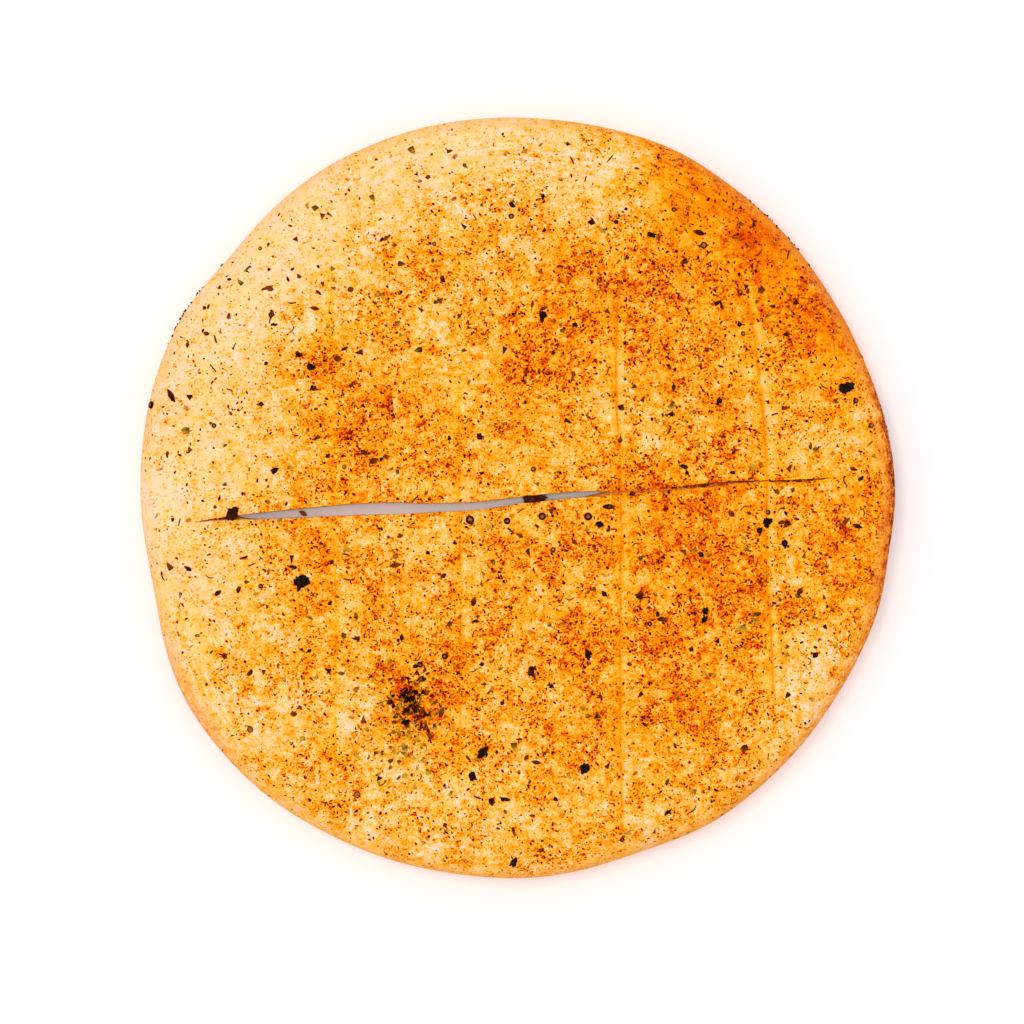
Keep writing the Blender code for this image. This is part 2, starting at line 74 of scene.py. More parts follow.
# The dough disc, as in the solid.
MEAN_RADIUS = 0.1270
MIDDLE_HEIGHT = 0.0142
RIM_HEIGHT = 0.0168
BELLY_HEIGHT = 0.0066
SHOULDER = 0.0090
TUCK = 0.0040
RIM_RISE_FROM = 0.50
RIM_RISE_TO = 0.88

# Where the outline leaves its mean circle: direction and spread in degrees, then how far out.
OUTLINE_LOBES = (
    (222, 19, 0.0041),
    (112, 18, 0.0016),
    (68, 8, 0.0008),
    (140, 5, -0.0014),
    (157, 9, 0.0013),
    (193, 7, -0.0022),
    (27, 13, -0.0024),
    (289, 7, -0.0017),
    (324, 11, -0.0015),
    (351, 5, -0.0014),
)

# How the rim wanders as it goes round: how busy the wave is, and how far it moves each measure.
OUTLINE_WANDER = (9.0, 0.0005)
RIM_WANDER = (2.6, 0.0022)
BELLY_WANDER = (3.4, 0.0020)
SHOULDER_WANDER = (3.0, 0.0034)
TUCK_WANDER = (4.0, 0.0022)
WANDER_APART = 7.3  # between the places where each measure reads the noise
SOFT_SHOULDER = (222, 24, 0.0030)

# Soft swells and dents of the top: x, y, spread, height.
SWELLS = (
    (0.0572, 0.0562, 0.0090, 0.0014),
    (-0.1040, 0.0040, 0.0095, -0.0010),
    (-0.0530, 0.0225, 0.0130, 0.0009),
    (0.0004, 0.0512, 0.0150, 0.0010),
    (0.0490, -0.0370, 0.0200, 0.0010),
    (0.0975, 0.0613, 0.0140, 0.0009),
    (-0.0330, 0.0746, 0.0160, 0.0008),
    (-0.0350, -0.0688, 0.0120, -0.0007),
    (0.0200, -0.0960, 0.0160, 0.0008),
)
SWELL_NOISE = ((0.034, 0.0007), (0.014, 0.0003))  # and smaller ones all over: wavelength and height

# Finer relief of the skin: wavelength and height of each size of lumpiness.
DOUGH_LUMPS = ((0.0075, 0.00022), (0.0034, 0.00010))
LUMP_LEVEL = 3.1  # the level at which the noise is read

# The mesh of the skin.
SECTORS = 6
TOP_CUTS = (19, 4)  # each sector's edge is cut in 20, and each of those in 5
BASE_CUTS = (9, 4)
SIDE_ROWS = 22
OVER_PART = 0.60  # the share of the rows that lies over the belly
BASE_SHARE = 0.985  # the base's own disc, within the lowest row of the side
SKIN_INSET = 0.00008
NEAR_CUTS = 0.0026  # the mesh is twice as fine this near to a cut
SIDE_DROP = -1.0  # where the wall ends and the base waits under the flat disc, until it is shaped
BASE_DROP = -1.5
ROW_TOLERANCE = 0.0001
TOP_LEVEL = 0.0500  # where the top waits, well over everything else, until it gets its heights
LEVEL_TOLERANCE = 0.00001
SKIN_SMOOTH = 40.0  # the sharpest bend that is shaded smooth, in degrees

# The long slit, cut right through: x, y, width along its middle line.
SLIT = (
    (-0.1077, -0.0080, 0.0003),
    (-0.0979, -0.0068, 0.0012),
    (-0.0821, -0.0056, 0.0026),
    (-0.0577, -0.0039, 0.0038),
    (-0.0414, -0.0034, 0.0040),
    (-0.0297, -0.0032, 0.0031),
    (-0.0133, -0.0025, 0.0028),
    (0.0001, -0.0007, 0.0024),
    (0.0164, 0.0010, 0.0023),
    (0.0248, 0.0014, 0.0020),
    (0.0300, 0.0015, 0.0014),
    (0.0345, 0.0018, 0.0007),
    (0.0462, 0.0029, 0.0007),
    (0.0562, 0.0036, 0.0014),
    (0.0640, 0.0043, 0.0016),
    (0.0716, 0.0051, 0.0013),
    (0.0826, 0.0056, 0.0007),
    (0.0940, 0.0057, 0.0012),
    (0.1040, 0.0068, 0.0003),
)
SLIT_STEP = 0.004  # between the places that stand for its middle line
SLIT_ROUNDING = (0.0007, 0.0009)  # how far its lips sink, and over what distance
SLIT_SWELL = (0.0003, 0.0034, 0.0018)  # how far they swell further out, where, and its spread
SLIT_BROWNED = (0.10, 0.0012)  # how much browner its lips are, and its spread
WALL_CRUMB = 0.00022  # how uneven its walls are
WALL_CRUMB_SIZE = 0.0011
LEAN_LEFT = (-0.0980, -0.0880)  # the x between which its left end stops leaning
LEAN_RIGHT = (0.0180, 0.0345)  # the x between which its right end starts to lean
LEAN_DEPTH = 0.0018  # how far down it leans, as far as it shifts sideways
NARROW_SLIT_SHADE = 0.95  # painted shade: how dark its walls are painted where it leans
CLOSED = (0.0395, 0.0072)  # where the slit closed over and its walls get no painted shade: x and spread
WALL_FROM = (0.0001, 0.0005)  # the depths between which the skin's finish gives way to the walls' own

# The scores: their points, how much paler the lip on their left is, partly paler dough and partly a painted
# highlight on the raised lip, how far that lip stands up, and how strong the painted shade of the thin line
# along the bottom is.
SCORES = (
    (((-0.0624, 0.0796), (-0.0618, -0.0034), (-0.0610, -0.0480), (-0.0614, -0.0941)), 0.06, 0.00010, 0.15),
    (((-0.0200, 0.0429), (-0.0198, -0.0030), (-0.0194, -0.0560), (-0.0200, -0.1008)), 0.12, 0.00012, 0.50),
    (
        ((0.0335, 0.0756), (0.0324, 0.0400), (0.0340, 0.0015), (0.0338, -0.0600), (0.0344, -0.1175)),
        0.22,
        0.00020,
        0.80,
    ),
    (
        (
            (0.0729, 0.0793),
            (0.0757, 0.0690),
            (0.0789, 0.0502),
            (0.0824, 0.0141),
            (0.0826, -0.0226),
            (0.0840, -0.0443),
            (0.0851, -0.0731),
        ),
        0.36,
        0.00040,
        0.75,
    ),
    (((0.0872, -0.0377), (0.0876, -0.0470), (0.0874, -0.0580)), 0.10, 0.00020, 0.40),
    (((0.0819, -0.0661), (0.0817, -0.0740), (0.0821, -0.0801)), 0.10, 0.00020, 0.40),
)
SCORE_STEP = 0.006  # between the places that stand for a score
SCORE_DEPTH = 0.00026
SCORE_WIDTH = 0.0008
SCORE_FLOOR = 0.00010  # the width of its bottom
SCORE_TAPER = 0.0120
SCORE_END_LIFT = 0.0001
# How the line comes and goes along it: over what length, how much of it shows, and how much that varies.
SCORE_GAPS = (0.0080, 0.8, 1.6)
SCORE_VALLEY = (0.00045, 0.0010)  # the soft hollow along a score: depth and spread
SCORE_SHADE_SPREAD = 0.00030  # the spread of the painted shade, a thin darker line along the bottom of a score
SCORE_CLEAN = 0.0015  # how far over its lip the dough has less spice on it
# The oily dough along a score: its spread, then how far over and how wide it lies on the score's right.
SCORE_BUTTER = (0.0005, 0.0012, 0.0009)
SLIT_BUTTER = (0.0180, 0.0300, 0.0011)  # the same by the slit: the x between which it begins, its spread
CLEAN_SHARE = 1.4  # how much less spice, for each part that the lip is paler
LIP_FROM_SCORE = 0.0014
LIP_SPREAD = 0.0009
CUT_STEP = 0.0011  # between a cutter's corners
CUT_ROWS = 56
THINNEST_CUT = 0.00005
SCORE_UNEVEN = 0.9  # how much its width varies, and over what length
SCORE_UNEVEN_LENGTH = 0.005
WALL_REACH = 0.0012  # how near to the slit its walls count as cut dough
CUTTER_OVERSHOOT = 0.0020

# A pinched pit in the top, and a smaller crease beside it: x, y, width, length, depth, turn in degrees.
PITS = (
    (-0.0427, 0.0308, 0.0018, 0.0070, 0.0018, 4),
    (-0.0514, 0.0266, 0.0012, 0.0040, 0.0010, -20),
)
PIT_SHADE = 0.7  # painted shade on one side of a pit and a painted highlight on the other: how much browner and how much paler than round it
# How far over a pit's painted shade and its painted highlight lie, and how wide they are, as shares of its
# width.
PIT_SHADED_SIDE = (-0.4, 0.4)
PIT_LIT_SIDE = (0.8, 0.5)
PIT_SHADE_LENGTH = 0.35  # how far along both reach, as a share of its length

# A low ridge inside the rim at the lower left: directions it runs between, distance, spread and height.
RIM_RIDGE = (198, 238, 0.1242, 0.0011, 0.00055)
RIM_RIDGE_FADE = 7  # degrees over which it runs out

# The ring of a flat blister: middle, radius, spread and height.
BLISTER = (0.0570, 0.0560, 0.0075, 0.0014, 0.00045)

# Creases in the top, each with its points, depth and spread.
CREASES = (
    (((-0.1085, -0.0262), (-0.1072, -0.0322), (-0.1035, -0.0372), (-0.0985, -0.0405)), 0.0004, 0.0009),
    (((-0.1215, 0.0120), (-0.1220, -0.0100), (-0.1195, -0.0300), (-0.1150, -0.0480)), 0.0003, 0.0014),
)
CREASE_STEP = 0.003  # between the places that stand for a crease

# How brown the top is, from 0 for bare dough to 1 for the deepest orange.
MIDDLE_BROWNING = 0.64
PALE_FROM = 0.078
PALE_BY = 0.117
# Where the rim stays paler than the middle: direction and spread in degrees, how much.
PALE_RIM = (
    (95, 12, 0.06),
    (141, 34, 0.64),
    (188, 14, 0.24),
    (210, 14, 0.32),
    (250, 22, 0.20),
    (290, 20, 0.10),
    (322, 13, 0.34),
)
# Where the top browned more or less than round it: x, y, spread, strength.
PATCHES = (
    (0.004, 0.050, 0.011, 0.38),
    (0.025, 0.072, 0.013, 0.34),
    (0.045, 0.067, 0.008, 0.12),
    (0.051, 0.049, 0.006, 0.20),
    (0.069, 0.060, 0.009, 0.18),
    (0.060, 0.098, 0.013, 0.25),
    (0.084, 0.085, 0.016, 0.44),
    (0.078, 0.083, 0.006, 0.16),
    (0.106, 0.056, 0.013, 0.50),
    (0.071, 0.029, 0.009, 0.18),
    (-0.052, 0.020, 0.010, 0.25),
    (-0.028, 0.078, 0.009, 0.18),
    (-0.066, 0.046, 0.008, 0.20),
    (0.052, -0.009, 0.012, 0.50),
    (0.072, -0.013, 0.010, 0.16),
    (0.018, -0.052, 0.009, 0.18),
    (0.074, -0.034, 0.010, 0.22),
    (0.050, -0.045, 0.014, 0.12),
    (0.112, -0.014, 0.013, 0.34),
    (0.042, -0.072, 0.018, 0.14),
    (0.074, -0.069, 0.014, 0.26),
    (-0.036, -0.068, 0.010, 0.50),
    (-0.066, -0.090, 0.010, 0.26),
    (-0.048, -0.080, 0.012, -0.14),
    (-0.012, -0.091, 0.011, -0.18),
    (0.040, 0.030, 0.009, -0.18),
    (0.020, 0.033, 0.008, -0.10),
    (0.020, 0.100, 0.012, -0.15),
    (0.088, 0.018, 0.010, -0.06),
    (0.105, 0.018, 0.009, -0.20),
    (0.085, 0.038, 0.008, -0.15),
    (0.096, -0.052, 0.010, -0.15),
    (-0.055, -0.072, 0.010, -0.30),
    (-0.020, 0.060, 0.014, -0.15),
    (-0.086, -0.024, 0.009, -0.15),
    (-0.020, -0.010, 0.016, -0.08),
    (0.044, -0.098, 0.010, -0.15),
    (-0.006, 0.115, 0.022, -0.28),
    (0.030, 0.107, 0.011, -0.16),
    (-0.010, 0.074, 0.009, -0.14),
    (0.008, -0.060, 0.007, -0.12),
    (-0.080, 0.034, 0.012, -0.30),
    (-0.088, 0.010, 0.010, -0.30),
    (-0.080, -0.036, 0.008, -0.15),
    (-0.094, -0.056, 0.009, 0.22),
    (0.064, -0.082, 0.008, 0.10),
    (0.048, 0.038, 0.006, 0.20),
    (-0.008, 0.102, 0.008, 0.16),
    (0.082, -0.052, 0.007, 0.15),
    (0.010, 0.025, 0.008, 0.16),
    (0.026, -0.008, 0.007, 0.14),
    (-0.030, 0.028, 0.009, 0.16),
    (-0.068, -0.010, 0.009, 0.14),
    (0.008, -0.022, 0.012, 0.12),
    (-0.031, -0.030, 0.009, -0.14),
    (0.112, -0.031, 0.009, 0.16),
    (-0.030, -0.050, 0.008, 0.10),
    (0.014, -0.074, 0.009, 0.12),
    (0.010, -0.112, 0.010, 0.20),
    (0.052, -0.092, 0.009, 0.12),
    (-0.050, -0.110, 0.009, -0.12),
    (0.058, 0.110, 0.011, 0.26),
    (-0.092, -0.042, 0.010, 0.14),
    (-0.122, 0.000, 0.008, -0.22),
    (-0.052, 0.070, 0.009, -0.14),
    (-0.072, 0.070, 0.009, -0.10),
    (-0.090, -0.008, 0.008, -0.12),
)
# Where the top is brown with little spice on it: x, y, spread, how much less.
SMOOTH_PATCHES = (
    (0.086, 0.088, 0.015, 0.76),
    (0.062, 0.104, 0.014, 0.76),
    (0.103, 0.056, 0.014, 0.50),
    (0.082, 0.066, 0.010, 0.36),
    (0.113, 0.018, 0.012, 0.30),
)
# Where the rim bakes to a dull tan band inside its edge: direction and spread in degrees, how much.
BAKED_BAND = (
    (7, 15, 0.24),
    (58, 14, 0.06),
    (345, 14, 0.06),
    (213, 11, 0.30),
)
BAND_REACH = (0.0028, 0.0070)  # how far in from the edge it is full, and ends
RIM_CLEAN = 0.35  # how much less spice there is at the very edge
RIM_CLEAN_WIDTH = 0.0070
SIDE_CLEAN = 0.65  # how much less there is on the side
# Where the edge itself bakes dark: direction and spread in degrees, how much.
BAKED_EDGE = (
    (4, 12, 0.50),
    (40, 14, 0.22),
    (335, 18, 0.28),
    (300, 24, 0.20),
    (265, 20, 0.12),
)
EDGE_REACH = (0.00088, 0.0044)
SIDE_FROM = 0.85  # where the side begins, as a share of the shoulder's width
SIDE_BAKED = 0.06
FOOT_BAKED = 0.36  # more along the foot of the side, where it lay against the pan
FOOT_TO = 0.9  # how high the foot reaches, as a share of the belly's height
BASE_FINISH = (0.0003, 0.6)  # under what height the base has its own finish, and how far into the tuck

# Where fine stretch lines run along the rim: direction and spread in degrees, distance and spread, strength.
STRETCHED = (
    (92, 12, 0.1160, 0.0060, 1.0),
    (64, 9, 0.1180, 0.0050, 1.1),
    (216, 20, 0.1225, 0.0040, 1.0),
    (262, 16, 0.1190, 0.0040, 0.7),
)
STRETCH_SPACING = 0.0010
STRETCH_BREAKS = 9.0  # how often the lines break off as they go round

# The skin's colours from bare to deepest browning, as they come out in the picture. Over 255 is past white.
SKIN_COLOURS = (
    (-0.20, (262, 230, 196)),
    (0.00, (262, 217, 162)),
    (0.20, (264, 202, 112)),
    (0.40, (264, 186, 58)),
    (0.60, (262, 168, 8)),
    (0.80, (257, 139, 0)),
    (1.00, (240, 98, 0)),
    (1.25, (204, 50, 0)),
    (1.50, (130, 18, 0)),
    (1.80, (52, 5, 0)),
)
BAKED_COLOURS = (
    (0.00, (262, 196, 112)),
    (0.30, (262, 164, 66)),
    (0.50, (250, 130, 26)),
    (0.70, (224, 92, 8)),
    (0.90, (160, 50, 2)),
    (1.10, (84, 22, 0)),
)
# The darker orange of the painted shade along the bottom of a score.
SCORE_SHADE_COLOUR = (246, 124, 0)
BUTTER_BESIDE = 0.7  # how oily it is on a score's right, as a share of the score itself
BUTTER_TINT = (1.0, 0.93, 0.10)  # what the oily dough's colour is multiplied by
YELLOW_TINT = (1.0, 1.0, 0.78)
PEACH_TINT = (1.0, 0.985, 1.12)
# How the dough turns from yellow to peach: the wavelength and share of each wave, and the range it takes.
TINT_WAVES = ((0.0090, 0.6), (0.0026, 0.4))
TINT_RANGE = (0.38, 0.62)
WALL_COLOURS = (
    (0.00, (250, 200, 112)),
    (0.60, (238, 160, 52)),
    (1.00, (184, 96, 22)),
)
WALL_GRAIN = (0.0016, 3.0, 0.6)
WALL_RANGE = (0.30, 0.70)
BASE_COLOURS = (
    (0.25, (238, 196, 138)),
    (0.50, (222, 158, 86)),
    (0.72, (178, 104, 44)),
)
BASE_GRAIN = (0.0070, 5.0, 0.62)
# The baked crust: its two grains, how they vary how baked it is, and how it covers the skin under it.
BAKED_GRAINS = (0.0030, 0.0009)
BAKED_UNEVEN = (0.70, 1.30, 0.35, 1.65)
BAKED_COVER = (0.04, 0.60, 0.0, 0.95)

# The mottling of the skin: wavelength, strength and how soft its edges are, from 0 to 0.5.
MOTTLES = (
    (0.0100, 0.60, 0.50),
    (0.0042, 0.44, 0.26),
    (0.0021, 0.22, 0.14),
    (0.0012, 0.20, 0.12),
    (0.0006, 0.34, 0.14),
)
BARE_MOTTLE = 0.30  # its strength on bare dough, as a share of its full one
MOTTLE_FULL = 0.35  # the browning from which it is full
# The spice in the skin, from soft stains to sharp grains: the cell that holds one, its reach as a share
# of the cell, how much browner it makes the dough, the share of cells that have one on bare dough and on
# the brownest, and the share of its reach that is full.
STAINS = (
    (0.0030, 0.50, 0.30, 0.30, 0.60, 0.3),
    (0.0017, 0.48, 0.32, 0.30, 0.70, 0.3),
    (0.0016, 0.40, -0.42, 0.12, 0.36, 0.5),
    (0.0013, 0.42, 0.50, 0.44, 0.36, 0.6),
    (0.0012, 0.42, 0.66, 0.12, 0.22, 0.6),
    (0.0015, 0.40, 0.90, 0.02, 0.14, 0.6),
    (0.0018, 0.38, 1.25, 0.01, 0.09, 0.7),
    (0.0014, 0.40, 1.20, 0.01, 0.08, 0.7),
)
STAIN_TURN = 50.0  # between one kind's long direction and the next, in degrees
STAIN_SLIMNESS = 1.6
STAIN_WOBBLE = (0.0010, 0.0009)  # how uneven their edges are: wavelength and distance
CLUSTERS = ((0.0120, 0.50), (0.0050, 0.60))  # the patches in which spice gathers: size and share
CLUSTER_LEVEL = 7.7  # the level at which their noise is read
CLUSTER_REACH = 0.26
CLUSTER_BROWNER = 0.20
CLUSTER_FULL = 0.5  # the browning from which they are that much browner
CLUSTER_SPREAD = 0.55  # how much more spice there is where it gathers, and how much less elsewhere
STAINED_GROUND = 0.24  # how much of the browning is in the stains and grains
SKIN_ROUGHNESS = 0.62
SKIN_SPECULAR = 0.02
SKIN_GRAINS = (0.0016, 0.0005)
SKIN_BUMP = (0.00012, 0.6)

# Burnt bits: x, y, length, width, turn in degrees, and tone from 0, black, to 1, brown.
BURNT_BITS = (
    (-0.0725, -0.0278, 0.0062, 0.0044, 35, 0.0),
    (0.1092, 0.0372, 0.0060, 0.0042, 30, 0.0),
    (0.0218, -0.0902, 0.0043, 0.0036, 60, 0.0),
    (-0.0955, -0.0050, 0.0050, 0.0040, 80, 0.45),
    (-0.0122, -0.0848, 0.0045, 0.0038, 10, 0.0),
    (0.0827, -0.0083, 0.0050, 0.0037, 0, 0.0),
    (0.0803, -0.0106, 0.0026, 0.0021, 60, 0.3),
    (0.0081, 0.0606, 0.0043, 0.0030, 100, 0.0),
    (-0.0018, -0.1212, 0.0038, 0.0026, 80, 0.2),
    (-0.0155, -0.0927, 0.0036, 0.0025, 110, 0.1),
    (-0.0692, 0.0440, 0.0032, 0.0028, 0, 0.0),
    (0.0886, -0.0153, 0.0033, 0.0023, 95, 0.0),
    (0.0270, -0.0087, 0.0027, 0.0023, 20, 0.1),
    (0.0230, -0.0523, 0.0038, 0.0025, 70, 0.1),
    (-0.0380, -0.0748, 0.0033, 0.0021, 5, 0.1),
    (0.0622, -0.0374, 0.0029, 0.0023, 80, 0.0),
    (0.0669, 0.0322, 0.0032, 0.0021, 75, 0.2),
    (-0.0046, -0.1002, 0.0036, 0.0017, 5, 0.3),
    (0.0442, 0.0877, 0.0036, 0.0017, 165, 0.1),
    (0.0549, 0.0105, 0.0033, 0.0017, 170, 0.2),
    (0.0617, -0.0407, 0.0026, 0.0020, 60, 0.0),
    (0.0609, -0.0188, 0.0020, 0.0018, 0, 0.1),
    (0.0495, -0.1046, 0.0027, 0.0017, 10, 0.3),
    (0.0736, 0.0579, 0.0023, 0.0017, 80, 0.2),
    (0.0188, 0.0579, 0.0023, 0.0017, 0, 0.2),
    (0.0081, 0.1004, 0.0023, 0.0017, 100, 0.2),
    (-0.1100, -0.0235, 0.0020, 0.0018, 0, 0.1),
    (0.0041, -0.0577, 0.0042, 0.0022, 85, 0.4),
    (-0.0755, -0.0230, 0.0033, 0.0015, 175, 0.4),
)
BURNT_FLATNESS = 0.64  # height over width

# The chunks that burnt bits are made of, one unit each way: a block, and the lumps that grow out of it.
CHUNK_KINDS = 9
CHUNK_BLOCK = ((-0.05, 0.0, 0.0), 0.90)
CHUNK_SLICES = 9
SLICE_TILT = 0.7  # how much the slices face up or down, over how much they face sideways
SLICE_REACH = (0.33, 0.46)  # how far from the middle they are cut, as a share of the size
LUMP_COUNTS = (1, 2)
LUMP_ALONG = (0.12, 0.26)
LUMP_ACROSS = (0.08, 0.22)
LUMP_UP = (0.00, 0.14)
LUMP_SIZES = (0.44, 0.60)
CHUNK_MESH = 0.06  # the size of its faces
CHUNK_ROUGHNESS = ((0.45, 0.24), (0.16, 0.15))  # wavelength and height of each size of bump

# Round seeds: x, y, diameter, and tone from 0, dark, to 1, tan.
SEEDS = (
    (-0.0163, -0.0072, 0.0029, 0.3),
    (-0.0039, -0.0076, 0.0023, 0.1),
    (0.0078, -0.0060, 0.0026, 0.3),
    (0.0231, -0.0061, 0.0027, 0.2),
    (0.0616, 0.0843, 0.0023, 0.6),
    (-0.0895, -0.0771, 0.0021, 0.8),
    (-0.0539, -0.0987, 0.0023, 0.9),
    (-0.0330, -0.0555, 0.0021, 0.1),
    (-0.0247, -0.0527, 0.0021, 0.1),
    (-0.1228, 0.0312, 0.0026, 0.3),
)
SEED_FLATNESS = 0.85
SEED_GROOVE = (0.27, 0.05, 0.07)  # the ring pressed into it: radius, spread and depth
SEED_HEART = (0.20, 0.9)  # how wide its lighter middle is, and how much lighter
SEED_RING = (0.40, 0.12, 0.5)  # the darker ring round that: radius, spread, how much darker
SEED_JITTER = (0.010, 3)  # how uneven it is, and its seed

# A brown crumb caught in the slit, holding to both its walls.
CRUMB_PLACE = (0.0055, 0.0002)
CRUMB_SIZE = (0.0085, 0.0036)
CRUMB_TURN = 8
CRUMB_DROP = 0.0016
CRUMB_KIND = 1
CRUMB_TONE = 0.5

# Leaves with a place of their own: x, y, length, width, turn in degrees, tone.
LEAVES = (
    (0.0300, -0.0028, 0.0043, 0.0017, 0, 0.2),
    (0.0600, 0.0885, 0.0040, 0.0017, 165, 0.3),
    (-0.0830, 0.0699, 0.0027, 0.0018, 155, 0.9),
    (-0.0681, 0.0633, 0.0030, 0.0013, 170, 0.7),
    (-0.0825, 0.0613, 0.0024, 0.0018, 60, 0.6),
    (-0.1159, 0.0342, 0.0050, 0.0018, 120, 0.3),
    (-0.0561, 0.0696, 0.0022, 0.0018, 20, 0.8),
    (-0.0581, 0.0499, 0.0028, 0.0010, 25, 0.3),
    (-0.0604, 0.0466, 0.0028, 0.0020, 0, 0.7),
    (-0.0484, 0.0125, 0.0034, 0.0018, 25, 0.6),
    (-0.1042, 0.0549, 0.0022, 0.0013, 170, 0.6),
    (0.0709, -0.0052, 0.0026, 0.0018, 140, 0.7),
    (0.0479, -0.0403, 0.0036, 0.0016, 0, 0.6),
    (0.0936, -0.0310, 0.0028, 0.0018, 60, 0.5),
    (0.0988, -0.0522, 0.0024, 0.0018, 45, 0.1),
    (0.1127, -0.0093, 0.0034, 0.0014, 160, 0.2),
    (-0.0412, -0.0223, 0.0040, 0.0016, 10, 0.8),
    (-0.0151, -0.0345, 0.0030, 0.0018, 80, 0.5),
    (-0.0143, -0.0410, 0.0024, 0.0010, 0, 0.1),
    (-0.0257, -0.0714, 0.0036, 0.0016, 75, 0.8),
    (0.0057, -0.0880, 0.0032, 0.0013, 170, 0.5),
    (-0.0720, -0.0050, 0.0030, 0.0014, 150, 0.6),
)

# A clump of herbs, burnt in the middle: place, spread across and along, how many pieces, their lengths and
# tones, and how high they pile up.
BURNT_CLUMP = (-0.0352, -0.0672, 0.0030, 0.0052, 28, (0.0010, 0.0028), (-0.3, 0.2), 0.0008)
DARK_CLUMP = (-0.0354, -0.0685, 0.0040, 0.0070, 44, (0.0010, 0.0026), (-0.2, 0.9), 0.0004)
OLIVE_CLUMP = (-0.0385, -0.0750, 0.0080, 0.0100, 104, (0.0010, 0.0024), (0.3, 1.2), 0.0004)
CLUMP_STEMS = (-0.0355, -0.0675, 0.0026, 0.0048, 40, (0.0014, 0.0032), (-0.3, 0.3), 0.0010)
CLUMP_LEAN = 28.0
CLUMP_BREADTHS = (0.6, 1.0)  # breadth over length

# Where the sprinkled things lie thick: x, y, spread, strength.
THICK = (
    (-0.0340, -0.0700, 0.0110, 0.50),
    (-0.0300, -0.0920, 0.0110, 0.40),
    (0.0050, -0.1000, 0.0160, 0.35),
    (-0.1120, 0.0400, 0.0110, 0.40),
    (-0.0900, 0.0740, 0.0080, 0.25),
    (0.0900, -0.0100, 0.0150, 0.85),
    (0.0700, -0.0320, 0.0130, 1.10),
    (0.0300, 0.0700, 0.0220, 0.45),
    (0.0660, 0.0520, 0.0150, 0.90),
    (0.0700, 0.0900, 0.0130, 0.65),
    (0.1100, 0.0350, 0.0110, 0.40),
    (0.0500, -0.0120, 0.0220, 0.40),
    (-0.0400, -0.0480, 0.0160, 0.80),
    (-0.0560, 0.0300, 0.0130, 0.20),
    (0.0160, -0.0500, 0.0110, 0.30),
    (-0.0950, -0.0420, 0.0130, 0.22),
    (-0.1020, 0.0580, 0.0150, 0.20),
    (0.0000, 0.0880, 0.0160, 0.25),
)
THIN = 0.32  # how thick they lie anywhere else
THIN_RIM = (216, 24, 0.10)  # the rim that has few: direction, spread, how much less
THIN_RIM_FROM = (0.6, 0.95)  # the shares of the radius between which it begins

# Dried leaves, whole and broken, one unit long: half widths from end to end, fold, curl and seed.
LEAF_KINDS = (
    ((0.05, 0.20, 0.26, 0.20, 0.04), 0.25, 0.05, 1),
    ((0.12, 0.26, 0.30, 0.12), -0.20, 0.06, 2),
    ((0.02, 0.12, 0.24, 0.36), 0.15, 0.08, 4),
    ((0.03, 0.34, 0.16, 0.04), 0.10, 0.06, 5),
    ((0.10, 0.13, 0.14, 0.10), 0.30, 0.10, 6),
    ((0.36, 0.30, 0.03), -0.15, 0.05, 10),
)
# Curled husks, in the same way.
HUSK_KINDS = (
    ((0.08, 0.24, 0.28, 0.22, 0.06), 0.70, 0.10, 7),
    ((0.10, 0.20, 0.20, 0.08), 0.90, 0.14, 8),
    ((0.16, 0.30, 0.26, 0.10), -0.60, 0.05, 9),
)
LEAF_THICKNESS = 0.07
FLAKE_JITTER = 0.05
VEIN_PALER = (0.08, 0.25)  # how wide a leaf's lighter middle is, and how much lighter
END_DARKER = 0.7  # how much darker a leaf or a shard gets from one end to the other

# Broken shards, one unit across: their sides, how far their corners reach, their bow and thickness.
SHARD_SIDES = (3, 3, 4, 4, 5, 5, 6)
SHARD_SEED = 20
SHARD_REACH = (0.55, 1.2)
SHARD_BOW = 0.10
SHARD_UNEVEN = 0.08
SHARD_THICKNESS = 0.08

# Dry stems, one unit long.
STEM_BENDS = (0.0, 0.10, 0.22, -0.15)
STEM_SIDES = 5
STEM_RADIUS = 0.08
STEM_ROWS = 6
STEM_TAPER = 0.5  # how fast it gets thinner away from its middle
STEM_JITTER = 0.012

# Grains, one unit across: sides and taper of each kind, and then the plain pyramids.
GRAIN_KINDS = ((4, 0.5), (5, 0.6), (5, 0.35), (6, 0.6))
PYRAMID_KINDS = 3
PYRAMID_SIDES = 4
PYRAMID_SEED = 30
GRAIN_HEIGHT = 0.45
GRAIN_JITTER = 0.09

SPRINKLE_SEED = 41
BATCH = 20000  # random places tried at once
TOPPED_SHARE = 0.965  # of the reach, where the larger things lie
SPECKED_SHARE = 0.985
SPRINKLE_LEAN = 9.0  # how far a thing may lean, in degrees, and how far it may lie over the skin
SPRINKLE_LIFT = 0.0001
SPICE_ON_BARE = 0.02
SPICE_FROM = 0.1  # the browning over which there is more
# Flakes: how many, how evenly they lie, shortest and longest.
DARK_FLAKES = (620, 0.10, (0.0009, 0.0029))
OLIVE_FLAKES = (480, 0.30, (0.0009, 0.0030))
HUSKS = (260, 0.20, (0.0008, 0.0022))
FLAKE_RARITY = 3  # how rare the long ones are, from 1 where all lengths are as common
FLAKE_BREADTHS = (0.7, 1.15)  # breadth over length
# Stems: how many, how evenly they lie, lengths, thicknesses and tones.
STEMS = (70, 0.25, (0.0014, 0.0036), (0.0020, 0.0034), (0.0, 0.8))
STEM_LEAST_WIDTH = 0.8  # a stem is stretched sideways by its length, or by this share of its thickness
# Loose seeds and chilli bits: how many, how evenly they lie, sizes and tones.
LOOSE_SEEDS = (16, 0.4, (0.0012, 0.0019), (0.2, 1.0))
LOOSE_SEED_FLATNESS = 0.8
CHILLI_BITS = (130, 0.5, (0.0006, 0.0014), (0.3, 1.0))
CHILLI_FLATNESS = 0.4  # height over length
